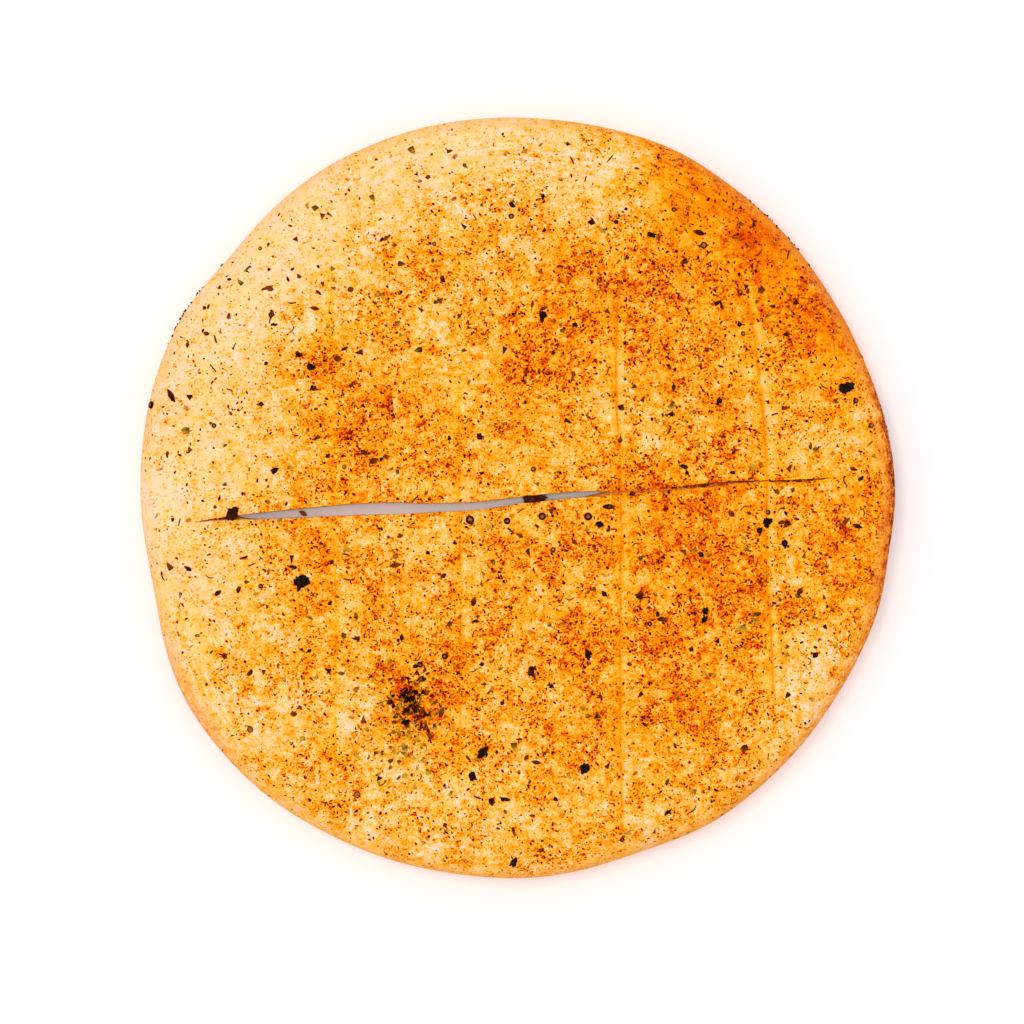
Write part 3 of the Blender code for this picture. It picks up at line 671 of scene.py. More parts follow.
# Ground pepper and spice: how many, lengths, width over length, and height over width.
PEPPER_SPECKS = (1500, (0.00060, 0.00190), (0.30, 0.75), 0.6)
SPICE_GRAINS = (6500, (0.00038, 0.00098), (0.6, 1.0), 0.5)
GRAIN_RARITY = 2
SPECK_WIDTH = 0.7  # the width over the length of a chilli bit or a speck on the side
SPECK_SUNK = 0.00012
SIDE_SPECKS = 420
# Specks on the side and larger crumbs along the rim: shortest, longest, lowest and highest on the side.
SIDE_SPECK = (0.0003, 0.0008, 0.0015, 0.0120)
RIM_CRUMB = (0.0004, 0.0020, 0.0060, 0.0105)
FLAT_SPECK = 0.4  # a speck's height over its length
# Where the crumbs cling to the rim: direction and spread in degrees, how many, height over length.
RIM_CRUMBS = (
    (150, 3, 30, 1.4),
    (50, 2, 18, 1.3),
    (42, 4, 12, 1.2),
    (20, 5, 24, 0.6),
    (342, 6, 34, 0.4),
    (300, 14, 40, 0.4),
    (225, 14, 26, 0.4),
)

STEEPEST = 0.30  # the least upward part of the normal where something lies
LOWEST_TOPPED = 0.0100

# The colours of each kind's darkest tone, its middle one and its lightest.
BURNT_COLOURS = ((0.0, (18, 6, 1)), (0.5, (56, 15, 2)), (1.0, (116, 38, 6)))
DARK_HERB_COLOURS = ((0.0, (28, 6, 0)), (0.5, (80, 22, 0)), (1.0, (134, 58, 4)))
OLIVE_HERB_COLOURS = ((0.0, (64, 34, 0)), (0.5, (126, 82, 4)), (1.0, (206, 154, 34)))
HUSK_COLOURS = ((0.0, (140, 60, 6)), (0.5, (194, 108, 20)), (1.0, (228, 156, 56)))
STEM_COLOURS = ((0.0, (36, 18, 6)), (0.5, (86, 48, 12)), (1.0, (150, 96, 30)))
SEED_COLOURS = ((0.0, (34, 14, 5)), (0.5, (104, 46, 10)), (1.0, (184, 106, 34)))
CHILLI_COLOURS = ((0.0, (130, 26, 3)), (0.5, (188, 52, 4)), (1.0, (232, 88, 8)))
PEPPER_COLOURS = ((0.0, (30, 4, 0)), (0.5, (92, 10, 0)), (1.0, (152, 28, 0)))
SPICE_COLOURS = ((0.0, (116, 12, 0)), (0.5, (180, 36, 0)), (1.0, (228, 76, 0)))

TONED_BUMP = (0.7, 0.0001)  # the size of a finish's bumps over that of its grain, and their depth

# Each kind's slot, the sharpest bend that is shaded smooth, and its finish: name, colours, size of the
# grain, roughness, shine, how bumpy it is and how much its tone varies.
FINISHES = {
    "burnt_bits": ("burnt", 35.0, "charred", BURNT_COLOURS, 0.0008, 0.35, 0.05, 1.0, 2.0),
    "dark_herb_flakes": ("herbs", 30.0, "dark_herb", DARK_HERB_COLOURS, 0.0005, 0.6, 0.02, 0.4, 1.4),
    "olive_herb_flakes": ("herbs", 30.0, "olive_herb", OLIVE_HERB_COLOURS, 0.0006, 0.6, 0.02, 0.4, 1.4),
    "tan_husks": ("herbs", 30.0, "tan_husk", HUSK_COLOURS, 0.0006, 0.55, 0.02, 0.4, 1.4),
    "dry_stems": ("herbs", 35.0, "dry_stem", STEM_COLOURS, 0.0006, 0.6, 0.02, 0.3, 1.4),
    "round_seeds": ("spice", 35.0, "round_seed", SEED_COLOURS, 0.0005, 0.45, 0.02, 0.4, 1.4),
    "chilli_bits": ("spice", 35.0, "red_chilli", CHILLI_COLOURS, 0.0004, 0.5, 0.02, 0.3, 1.4),
    "spice_grains": ("spice", 35.0, "ground_spice", SPICE_COLOURS, 0.0003, 0.55, 0.02, 0.2, 1.4),
    "pepper_specks": ("pepper", 35.0, "ground_pepper", PEPPER_COLOURS, 0.0003, 0.55, 0.02, 0.2, 1.4),
}


def begin():
    """Back in object mode with nothing selected."""
    if bpy.context.mode != "OBJECT":
        bpy.ops.object.mode_set(mode="OBJECT")
    bpy.ops.object.select_all(action="DESELECT")


def pick(piece):
    begin()
    piece.select_set(True)
    bpy.context.view_layer.objects.active = piece


@contextmanager
def edit_mode():
    """Edit mode for as long as the block under it runs."""
    bpy.ops.object.mode_set(mode="EDIT")
    yield
    bpy.ops.object.mode_set(mode="OBJECT")


def join(piece, others):
    pick(piece)
    for other in others:
        other.select_set(True)
    bpy.ops.object.join()


def newly_added(name):
    piece = bpy.context.active_object
    piece.name = name
    piece.data.name = name
    return piece


def corners_of(piece):
    flat = np.empty(len(piece.data.vertices) * 3, np.float32)
    piece.data.vertices.foreach_get("co", flat)
    return flat.reshape(-1, 3).astype(float)


def put_corners(piece, corners):
    piece.data.vertices.foreach_set("co", corners.astype(np.float32).ravel())
    piece.data.update()


def apply_modifier(piece, modifier):
    pick(piece)
    bpy.ops.object.modifier_apply(modifier=modifier.name)


def set_attribute(piece, name, values):
    attribute = piece.data.attributes.new(name, "FLOAT", "POINT")
    attribute.data.foreach_set("value", np.asarray(values, np.float32))


def bell(distance, spread):
    return np.exp(-0.5 * (distance / spread) ** 2)


def smooth_step(low, high, value):
    share = np.clip((value - low) / (high - low), 0.0, 1.0)
    return share * share * (3.0 - 2.0 * share)


def turn_between(angle, direction):
    """Degrees from a direction to an angle in radians, between -180 and 180."""
    return (np.degrees(angle) - direction + 180.0) % 360.0 - 180.0


def lobe(angle, direction, spread, reach):
    return reach * bell(turn_between(angle, direction), spread)


def lobes(angle, rows):
    return sum(lobe(angle, *row) for row in rows)


def with_bells(values, x, y, rows):
    """Values raised or lowered round some places, each given by its x, y, spread and how much."""
    for middle_x, middle_y, spread, more in rows:
        values = values + more * bell(np.hypot(x - middle_x, y - middle_y), spread)
    return values


def wander(angle, wave, which):
    busy, reach = wave
    spot = Vector((math.cos(angle), math.sin(angle), 0.0)) * busy / 2.0
    return reach * noise.noise(spot + Vector((0.0, 0.0, WANDER_APART * which)))


RIM_ANGLES = np.linspace(-math.pi, math.pi, 1441)  # one each quarter of a degree


def round_the_rim(measure):
    """A measure of the rim, ready to be read at many angles at once."""
    values = np.array([measure(angle) for angle in RIM_ANGLES])
    return lambda angle: np.interp(angle, RIM_ANGLES, values)


outline_radius = round_the_rim(
    lambda angle: MEAN_RADIUS
    - SKIN_INSET
    + wander(angle, OUTLINE_WANDER, 1)
    + lobes(angle, OUTLINE_LOBES)
)
shoulder_width = round_the_rim(
    lambda angle: SHOULDER + wander(angle, SHOULDER_WANDER, 2) + lobe(angle, *SOFT_SHOULDER)
)
rim_height = round_the_rim(lambda angle: RIM_HEIGHT + wander(angle, RIM_WANDER, 3))
tuck_width = round_the_rim(lambda angle: TUCK + wander(angle, TUCK_WANDER, 4))
belly_height = round_the_rim(lambda angle: BELLY_HEIGHT + wander(angle, BELLY_WANDER, 5))


def noise_at(x, y, wavelength, level=0.0):
    pairs = zip(np.atleast_1d(x) / wavelength, np.atleast_1d(y) / wavelength)
    return np.array([noise.noise((across, up, level)) for across, up in pairs])


def smooth_path(points, step):
    """Places about a step apart on a smooth curve through the given points, whatever each point holds."""
    points = np.array(points)
    padded = np.vstack([points[:1], points, points[-1:]])
    path = []
    for before, start, end, after in zip(padded, padded[1:], padded[2:], padded[3:]):
        count = max(1, round(math.dist(start[:2], end[:2]) / step))
        for share in np.arange(count) / count:
            swing = (end - before) * share
            bow = (2.0 * before - 5.0 * start + 4.0 * end - after) * share**2
            whip = (3.0 * start - before - 3.0 * end + after) * share**3
            path.append(0.5 * (2.0 * start + swing + bow + whip))
    path.append(points[-1])
    return np.array(path)


def beside_path(x, y, path):
    """How far each place is from a path, negative on its right, and the share of the path passed by there."""
    least = np.full(np.shape(x), np.inf)
    side = np.ones(np.shape(x))
    passed = np.zeros(np.shape(x))
    for number, (start, end) in enumerate(zip(path[:-1, :2], path[1:, :2])):
        along = end - start
        share = ((x - start[0]) * along[0] + (y - start[1]) * along[1]) / (along @ along)
        share = np.clip(share, 0.0, 1.0)
        away_x = x - start[0] - share * along[0]
        away_y = y - start[1] - share * along[1]
        away = np.hypot(away_x, away_y)
        nearer = away < least
        least = np.where(nearer, away, least)
        side = np.where(nearer, np.where(along[0] * away_y - along[1] * away_x < 0.0, -1.0, 1.0), side)
        passed = np.where(nearer, number + share, passed)
    return least * side, passed / (len(path) - 1)


SLIT_PATH = smooth_path(SLIT, SLIT_STEP)
SCORE_PATHS = [smooth_path(points, SCORE_STEP) for points, _, _, _ in SCORES]


def path_length(path):
    return float(np.hypot(*np.diff(path[:, :2], axis=0).T).sum())


def along_score(path, passed):
    """How fully a score is cut at a share of its length: 0 at its ends, 1 along its middle."""
    to_end = path_length(path) * np.minimum(passed, 1.0 - passed)
    return smooth_step(0.0, SCORE_TAPER, to_end)


def beside_scores(x, y):
    """For each score, how far every place is from it, and how fully it is cut by there."""
    runs = []
    for path in SCORE_PATHS:
        away, passed = beside_path(x, y, path)
        runs.append((away, along_score(path, passed)))
    return runs


def slit_edge_distance(x, y):
    """The distance from the edge of the slit, negative within it."""
    away, passed = beside_path(x, y, SLIT_PATH)
    half = 0.5 * np.interp(passed, np.linspace(0.0, 1.0, len(SLIT_PATH)), SLIT_PATH[:, 2])
    return np.abs(away) - half


def leaning_at(x):
    """How fully the slit leans, as the dough closed over its two ends."""
    return 1.0 - smooth_step(*LEAN_LEFT, x) + smooth_step(*LEAN_RIGHT, x)


def plain_height(x, y):
    """The top without its finer relief, as in the solid."""
    angle = np.arctan2(y, x)
    share = np.hypot(x, y) / outline_radius(angle)
    rise = rim_height(angle) - MIDDLE_HEIGHT
    height = MIDDLE_HEIGHT + rise * smooth_step(RIM_RISE_FROM, RIM_RISE_TO, share)
    height = with_bells(height, x, y, SWELLS)
    for wavelength, lift in SWELL_NOISE:
        height = height + lift * noise_at(x, y, wavelength)
    return height


def cut_relief(x, y):
    """The rounded lips of the slit, and the hollow and the lip along each score."""
    from_slit = slit_edge_distance(x, y)
    sink, over = SLIT_ROUNDING
    swell, where, spread = SLIT_SWELL
    depth, width = SCORE_VALLEY
    relief = swell * bell(from_slit - where, spread) - sink * np.exp(-np.maximum(from_slit, 0.0) / over)
    for (away, full), (_, _, lip, _) in zip(beside_scores(x, y), SCORES):
        relief = relief - depth * full * bell(away, width)
        relief = relief + lip * full * bell(away - LIP_FROM_SCORE, LIP_SPREAD)
    return relief


def small_relief(x, y):
    """The ridge inside the rim, the blister's ring, the creases and the lumpiness of the dough."""
    first, last, distance, spread, height = RIM_RIDGE
    half_way = 0.5 * (last - first)
    turn = np.abs(turn_between(np.arctan2(y, x), 0.5 * (first + last)))
    runs = 1.0 - smooth_step(half_way - RIM_RIDGE_FADE, half_way, turn)
    relief = height * runs * bell(np.hypot(x, y) - distance, spread)
    blister_x, blister_y, radius, spread, height = BLISTER
    relief = relief + height * bell(np.hypot(x - blister_x, y - blister_y) - radius, spread)
    for points, depth, width in CREASES:
        away, passed = beside_path(x, y, smooth_path(points, CREASE_STEP))
        relief = relief - depth * bell(away, width) * np.sin(math.pi * passed)
    for number, (wavelength, height) in enumerate(DOUGH_LUMPS):
        relief = relief + height * noise_at(x, y, wavelength, LUMP_LEVEL + number)
    return relief


def full_height(x, y):
    return plain_height(x, y) + cut_relief(x, y) + small_relief(x, y)


def browning_at(x, y):
    """How brown the top is at a place, before the fine stains of its material."""
    paler = lobes(np.arctan2(y, x), PALE_RIM)
    browning = MIDDLE_BROWNING - paler * smooth_step(PALE_FROM, PALE_BY, np.hypot(x, y))
    return with_bells(browning, x, y, PATCHES)


def clustering_at(x, y):
    """How much the spice gathers at each place, from 0 to 1, in patches of two sizes."""
    gathered = sum(share * noise_at(x, y, wavelength, CLUSTER_LEVEL) for wavelength, share in CLUSTERS)
    return smooth_step(-CLUSTER_REACH, CLUSTER_REACH, gathered)


def gathering_at(x, y):
    """How many times the usual share of spice there is at each place."""
    return 1.0 + CLUSTER_SPREAD * (2.0 * clustering_at(x, y) - 1.0)


def flat_disc(name, cuts, height):
    """A six-sided disc of even triangles, one unit in radius."""
    begin()
    bpy.ops.mesh.primitive_circle_add(
        vertices=SECTORS, radius=1.0, fill_type="TRIFAN", location=(0.0, 0.0, height)
    )
    disc = newly_added(name)
    bpy.ops.object.transform_apply(location=True, rotation=False, scale=False)
    with edit_mode():
        for count in cuts:
            bpy.ops.mesh.select_all(action="SELECT")
            bpy.ops.mesh.subdivide(number_cuts=count)
    return disc


def select_edges(piece, chosen):
    """Selects edges by a test on their two ends, and nothing else."""
    pick(piece)
    bpy.context.tool_settings.mesh_select_mode = (False, True, False)
    corners = corners_of(piece)
    ends = np.empty(len(piece.data.edges) * 2, np.int32)
    piece.data.edges.foreach_get("vertices", ends)
    ends = ends.reshape(-1, 2)
    mask = chosen(corners[ends[:, 0]], corners[ends[:, 1]])
    piece.data.polygons.foreach_set("select", np.zeros(len(piece.data.polygons), bool))
    piece.data.edges.foreach_set("select", mask)
    used = np.zeros(len(corners), bool)
    used[ends[mask].ravel()] = True
    piece.data.vertices.foreach_set("select", used)


def cut_in_rows(piece, axis, count):
    """Cuts the edges that run along an axis, so that the piece gets that many rows along it."""

    def runs_along(first, second):
        step = np.abs(second - first)
        return step[:, axis] > 10.0 * (step.sum(axis=1) - step[:, axis]) + 1e-9

    select_edges(piece, runs_along)
    with edit_mode():
        bpy.ops.mesh.subdivide(number_cuts=count - 1)


def select_open_edges():
    bpy.ops.mesh.select_mode(type="EDGE")
    bpy.ops.mesh.select_all(action="DESELECT")
    bpy.ops.mesh.select_non_manifold(
        extend=False, use_wire=False, use_multi_face=False, use_non_contiguous=False, use_verts=False
    )


def closed_disc():
    """The top disc with a wall pulled down from its edge and a coarser disc as its base, all still flat."""
    body = flat_disc("bread_skin", TOP_CUTS, 0.0)
    with edit_mode():
        select_open_edges()
        bpy.ops.mesh.extrude_edges_move(TRANSFORM_OT_translate={"value": (0.0, 0.0, SIDE_DROP)})
    cut_in_rows(body, 2, SIDE_ROWS)
    base = flat_disc("bread_base", BASE_CUTS, BASE_DROP)
    with edit_mode():
        bpy.ops.mesh.select_all(action="SELECT")
        bpy.ops.mesh.flip_normals()
    join(body, [base])
    with edit_mode():
        select_open_edges()
        bpy.ops.mesh.bridge_edge_loops()
    return body


def round_off(x, y):
    """Takes places on the six-sided disc to angles and shares of the reach on a round one."""
    sector_width = 2.0 * math.pi / SECTORS
    angle = np.arctan2(y, x)
    first_corner = 0.5 * math.pi
    sector = np.floor((angle - first_corner) / sector_width)
    facing = first_corner + (sector + 0.5) * sector_width
    share = (x * np.cos(facing) + y * np.sin(facing)) / math.cos(0.5 * sector_width)
    across = -x * np.sin(facing) + y * np.cos(facing)
    way = np.where(share > 1e-6, across / np.maximum(share, 1e-6), 0.0) + 0.5
    turned = first_corner + (sector + way) * sector_width
    return (turned + math.pi) % (2.0 * math.pi) - math.pi, share


def shape_disc(body):
    """Gives the flat closed disc its round outline, its rounded side and its base. The top stays level."""
    flat = corners_of(body)
    angle, share = round_off(flat[:, 0], flat[:, 1])
    outline = outline_radius(angle)
    shoulder_reach = outline - shoulder_width(angle)
    row = flat[:, 2] / SIDE_DROP
    depth = np.clip(row / OVER_PART, 0.0, 1.0)
    drop = np.clip((row - OVER_PART) / (1.0 - OVER_PART), 0.0, 1.0)
    out = np.sin(0.5 * math.pi * depth)
    down = np.cos(0.5 * math.pi * depth)
    under = 1.0 - np.cos(0.5 * math.pi * drop)
    low = 1.0 - np.sin(0.5 * math.pi * drop)
    side_reach = outline - shoulder_width(angle) * (1.0 - out) - tuck_width(angle) * under
    shoulder = full_height(shoulder_reach * np.cos(angle), shoulder_reach * np.sin(angle))
    belly = belly_height(angle)
    side_height = low * (belly + (shoulder - belly) * down)
    on_top = row < ROW_TOLERANCE
    on_base = row > 1.0 + ROW_TOLERANCE
    reach = np.where(on_top, shoulder_reach * share, side_reach)
    reach = np.where(on_base, (outline - tuck_width(angle)) * BASE_SHARE * share, reach)
    height = np.where(on_top, TOP_LEVEL, np.where(on_base, 0.0, side_height))
    put_corners(body, np.column_stack([reach * np.cos(angle), reach * np.sin(angle), height]))


def refine_near_cuts(body):
    """Makes the top's mesh twice as fine along the slit and the scores."""
    corners = corners_of(body)
    centres = np.array([corners[list(face.vertices)].mean(axis=0) for face in body.data.polygons])
    x, y, z = centres.T
    nearest = np.abs(slit_edge_distance(x, y))
    for away, _ in beside_scores(x, y):
        nearest = np.minimum(nearest, np.abs(away))
    pick(body)
    bpy.context.tool_settings.mesh_select_mode = (False, False, True)
    body.data.vertices.foreach_set("select", np.zeros(len(body.data.vertices), bool))
    body.data.edges.foreach_set("select", np.zeros(len(body.data.edges), bool))
    body.data.polygons.foreach_set("select", (nearest < NEAR_CUTS) & (z > TOP_LEVEL - LEVEL_TOLERANCE))
    with edit_mode():
        bpy.ops.mesh.subdivide(number_cuts=1)


def raise_top(body):
    corners = corners_of(body)
    top = corners[:, 2] > TOP_LEVEL - LEVEL_TOLERANCE
    corners[top, 2] = full_height(corners[top, 0], corners[top, 1])
    put_corners(body, corners)


def fine_bar(name, along, up):
    """A bar one unit long and high, with rows of corners along it and up it, to be bent to a route."""
    begin()
    bpy.ops.mesh.primitive_cube_add(size=1.0, location=(0.5, 0.0, 0.5))
    bar = newly_added(name)
    bpy.ops.object.transform_apply(location=True, rotation=False, scale=False)
    cut_in_rows(bar, 0, along)
    cut_in_rows(bar, 2, up)
    return bar


def follow_path(bar, path, offset_at, height_at):
    """Bends a straight bar along a path. Its offset and height come from the shares along and up it."""
    corners = corners_of(bar)
    shares = np.linspace(0.0, 1.0, len(path))
    x = np.interp(corners[:, 0], shares, path[:, 0])
    y = np.interp(corners[:, 0], shares, path[:, 1])
    slopes = np.gradient(path[:, :2], axis=0)
    slopes /= np.hypot(slopes[:, 0], slopes[:, 1])[:, None]
    along_x = np.interp(corners[:, 0], shares, slopes[:, 0])
    along_y = np.interp(corners[:, 0], shares, slopes[:, 1])
    offset = offset_at(corners[:, 0], corners[:, 2], np.sign(corners[:, 1]))
    height = height_at(corners[:, 0], corners[:, 2], x, y)
    put_corners(bar, np.column_stack([x - offset * along_y, y + offset * along_x, height]))


def slit_cutter():
    """A blade of the slit's own outline, with uneven faces that leave a crumb on its walls. Towards its ends
    it leans as it goes down, as the dough closed over it.
    """
    path = smooth_path(SLIT, CUT_STEP)
    bar = fine_bar("slit_cutter", len(path) - 1, CUT_ROWS)
    shares = np.linspace(0.0, 1.0, len(path))
    length = path_length(path)
    tops = plain_height(path[:, 0], path[:, 1]) - SLIT_ROUNDING[0]
    rise = RIM_HEIGHT + 3.0 * CUTTER_OVERSHOOT

    def height_at(passed, up, x, y):
        return up * rise - CUTTER_OVERSHOOT

    def offset_at(passed, up, side):
        width = np.interp(passed, shares, path[:, 2])
        crumb = noise_at(passed * length, up * rise + 0.5 * side, WALL_CRUMB_SIZE)
        half = 0.5 * width + WALL_CRUMB * crumb * np.minimum(0.5 * width / WALL_CRUMB_SIZE, 1.0)
        below = np.interp(passed, shares, tops) - height_at(passed, up, 0.0, 0.0)
        lean = leaning_at(np.interp(passed, shares, path[:, 0])) * np.clip(below, 0.0, LEAN_DEPTH)
        return side * np.maximum(half, THINNEST_CUT) + lean

    follow_path(bar, path, offset_at, height_at)
    return bar


def score_cutter(number):
    """A thin wedge that follows the top along a score, and comes out of the dough at both ends."""
    path = smooth_path(SCORES[number][0], CUT_STEP)
    bar = fine_bar(f"score_cutter_{number}", len(path) - 1, 2)

    def offset_at(passed, up, side):
        wide = 0.5 * SCORE_WIDTH * (SCORE_DEPTH + CUTTER_OVERSHOOT) / SCORE_DEPTH
        uneven = 1.0 + SCORE_UNEVEN * noise_at(passed * path_length(path), side, SCORE_UNEVEN_LENGTH)
        return side * (0.5 * SCORE_FLOOR + wide * up * uneven)

    def height_at(passed, up, x, y):
        depth = SCORE_DEPTH * along_score(path, passed) - SCORE_END_LIFT
        return full_height(x, y) - depth + up * (depth + CUTTER_OVERSHOOT)

    follow_path(bar, path, offset_at, height_at)
    return bar


def pit_cutter(number):
    x, y, width, length, depth, turn = PITS[number]
    begin()
    bpy.ops.mesh.primitive_ico_sphere_add(
        subdivisions=4,
        radius=1.0,
        location=(x, y, float(plain_height(x, y)[0])),
        rotation=(0.0, 0.0, math.radians(turn)),
        scale=(0.5 * width, 0.5 * length, depth),
    )
    cutter = newly_added(f"pit_cutter_{number}")
    bpy.ops.object.transform_apply(location=True, rotation=True, scale=True)
    return cutter


def cut_away(body, cutter):
    modifier = body.modifiers.new(cutter.name, "BOOLEAN")
    modifier.operation = "DIFFERENCE"
    modifier.solver = "MANIFOLD"
    modifier.object = cutter
    apply_modifier(body, modifier)
    bpy.data.objects.remove(cutter)


def side_shares(angle, reach, z):
    """How far out on the side each place is, and how near to its foot, both from 0 to 1."""
    outline = outline_radius(angle)
    shoulder_reach = outline - shoulder_width(angle)
    over = smooth_step(SIDE_FROM, 1.0, (reach - shoulder_reach) / (outline - shoulder_reach))
    foot = 1.0 - smooth_step(0.0, FOOT_TO, z / belly_height(angle))
    return over, np.where(reach > shoulder_reach, foot, 0.0)


def browning_and_shade_marks(x, y, scores, from_slit, clustered):
    """Browner where spice gathers and along the slit, with painted shade and a painted highlight beside the
    pits, and paler on the scores' raised lips, partly paler dough and partly a painted highlight.
    """
    browning = browning_at(x, y)
    browning = browning + CLUSTER_BROWNER * (clustered - 0.5) * smooth_step(0.0, CLUSTER_FULL, browning)
    # Paler on each score's raised lip: partly paler dough, partly a painted highlight.
    for (away, full), (_, paler, _, _) in zip(scores, SCORES):
        lip = full * bell(away - LIP_FROM_SCORE, LIP_SPREAD)
        browning = browning - paler * lip
    # Painted shade on the left of each pit and a painted highlight on its right.
    for pit_x, pit_y, width, length, _, _ in PITS:
        shade = PIT_SHADE * bell(y - pit_y, PIT_SHADE_LENGTH * length)
        for sign, (over, spread) in ((1.0, PIT_SHADED_SIDE), (-1.0, PIT_LIT_SIDE)):
            browning = browning + sign * shade * bell(x - pit_x - over * width, spread * width)
    browner, spread = SLIT_BROWNED
    return browning + browner * bell(from_slit, spread)


def clean_marks(x, y, scores, inward, on_side):
    """How much less spice there is: at the rim, on the side, on the scores' lips and on smooth patches."""
    clean = RIM_CLEAN * (1.0 - smooth_step(0.0, RIM_CLEAN_WIDTH, inward))
    clean = np.maximum(clean, SIDE_CLEAN * on_side)
    for (away, full), (_, paler, _, _) in zip(scores, SCORES):
        clean = np.maximum(clean, CLEAN_SHARE * paler * full * bell(away - LIP_FROM_SCORE, SCORE_CLEAN))
    for row in SMOOTH_PATCHES:
        clean = np.maximum(clean, with_bells(0.0, x, y, [row]))
    return clean


def score_shade_marks(x, y, scores):
    """The painted shade of the thin line along the bottom of each score, which comes and goes."""
    spacing, usual, strength = SCORE_GAPS
    shown = np.clip(usual + strength * noise_at(x + y, y, spacing), 0.0, 1.0)
    lines = [
        line * shown * full * bell(away, SCORE_SHADE_SPREAD)
        for (away, full), (_, _, _, line) in zip(scores, SCORES)
    ]
    return np.max(lines, axis=0)


def butter_marks(x, scores, from_slit):
    """The oily dough along the scores, and along the right part of the slit."""
    starts, full_at, spread = SLIT_BUTTER
    buttered = smooth_step(starts, full_at, x) * bell(from_slit, spread)
    close, over, spread = SCORE_BUTTER
    for away, full in scores:
        butter = np.maximum(bell(away, close), BUTTER_BESIDE * bell(away + over, spread))
        buttered = np.maximum(buttered, full * butter)
    return buttered


def wall_marks(x, y, z, scores, from_slit):
    """The walls of the slit, from a little way under the top."""
    below = full_height(x, y) - z
    for away, full in scores:
        below = below - SCORE_DEPTH * full * bell(away, SCORE_WIDTH)
    return np.where(from_slit < WALL_REACH + LEAN_DEPTH, smooth_step(*WALL_FROM, below), 0.0)


def baked_marks(angle, inward, over, foot):
    """The baked band and the baked edge of the rim, the side and its foot."""
    baked = (1.0 - smooth_step(*BAND_REACH, inward)) * lobes(angle, BAKED_BAND)
    baked = baked + (1.0 - smooth_step(*EDGE_REACH, inward)) * lobes(angle, BAKED_EDGE)
    return baked + SIDE_BAKED * over + FOOT_BAKED * foot


def stretch_marks(angle, reach):
    stretched = np.zeros(len(angle))
    for direction, spread, distance, width, strength in STRETCHED:
        lines = lobe(angle, direction, spread, strength)
        stretched = stretched + lines * bell(reach - distance, width)
    return stretched


def mark_skin(body):
    """Writes what the skin's material reads: how brown and how baked each place is, and where it is cut.
    These marks also hold painted shade in the narrow slit, along the scores and beside the pits, and painted
    highlights beside the pits and on the scores' lips.
    """
    x, y, z = corners_of(body).T
    angle = np.arctan2(y, x)
    reach = np.hypot(x, y)
    outline = outline_radius(angle)
    inward = outline - reach
    scores = beside_scores(x, y)
    from_slit = slit_edge_distance(x, y)
    clustered = clustering_at(x, y)
    over, foot = side_shares(angle, reach, z)
    wall = wall_marks(x, y, z, scores, from_slit)
    # Where the slit leans, its walls get painted shade, except where it closed over.
    closed = leaning_at(x) * (1.0 - bell(x - CLOSED[0], CLOSED[1]))
    under, within = BASE_FINISH
    base = np.where((z < under) & (reach < outline - within * tuck_width(angle)), 1.0, 0.0)
    marks = {
        "browning": browning_and_shade_marks(x, y, scores, from_slit, clustered),
        # The baked marks also carry the painted shade on the leaning walls of the narrow slit.
        "baked": baked_marks(angle, inward, over, foot) + NARROW_SLIT_SHADE * wall * closed,
        "wall": wall * (1.0 - base),
        "base": base,
        "stretched": stretch_marks(angle, reach),
        "clean": clean_marks(x, y, scores, inward, np.maximum(over, foot)),
        "score_shade": score_shade_marks(x, y, scores),
        "buttered": butter_marks(x, scores, from_slit),
        "clustered": clustered,
    }
    for name, values in marks.items():
        set_attribute(body, name, values)


def bread_skin():
    body = closed_disc()
    shape_disc(body)
    refine_near_cuts(body)
    raise_top(body)
    cut_away(body, slit_cutter())
    for number in range(len(SCORES)):
        cut_away(body, score_cutter(number))
    for number in range(len(PITS)):
        cut_away(body, pit_cutter(number))
    mark_skin(body)
    return body


def shape_of(piece, shades=0.0):
    """The corners, faces and shades of a modelled shape, to be repeated. The shape itself is removed."""
    corners = corners_of(piece)
    faces = [tuple(face.vertices) for face in piece.data.polygons]
    bpy.data.objects.remove(piece)
    return corners, faces, shades + np.zeros(len(corners))


def jitter(piece, offset, seed):
    pick(piece)
    with edit_mode():
        bpy.ops.mesh.select_all(action="SELECT")
        bpy.ops.transform.vertex_random(offset=offset, uniform=0.0, normal=0.0, seed=seed)


def thicken(piece, thickness):
    modifier = piece.modifiers.new("thickness", "SOLIDIFY")
    modifier.thickness = thickness
    modifier.offset = 0.0
    apply_modifier(piece, modifier)


def sliced_block(draw, middle, size):
    """A block with slices taken off it at random."""
    bpy.ops.mesh.primitive_cube_add(size=size, location=middle)
    block = newly_added("sliced_block")
    bpy.ops.object.transform_apply(location=True, rotation=False, scale=False)
    with edit_mode():
        for _ in range(CHUNK_SLICES):
            facing = Vector([draw.gauss(0.0, spread) for spread in (1.0, 1.0, SLICE_TILT)]).normalized()
            bpy.ops.mesh.select_all(action="SELECT")
            bpy.ops.mesh.bisect(
                plane_co=Vector(middle) + facing * size * draw.uniform(*SLICE_REACH),
                plane_no=facing,
                use_fill=True,
                clear_outer=True,
            )
    return block


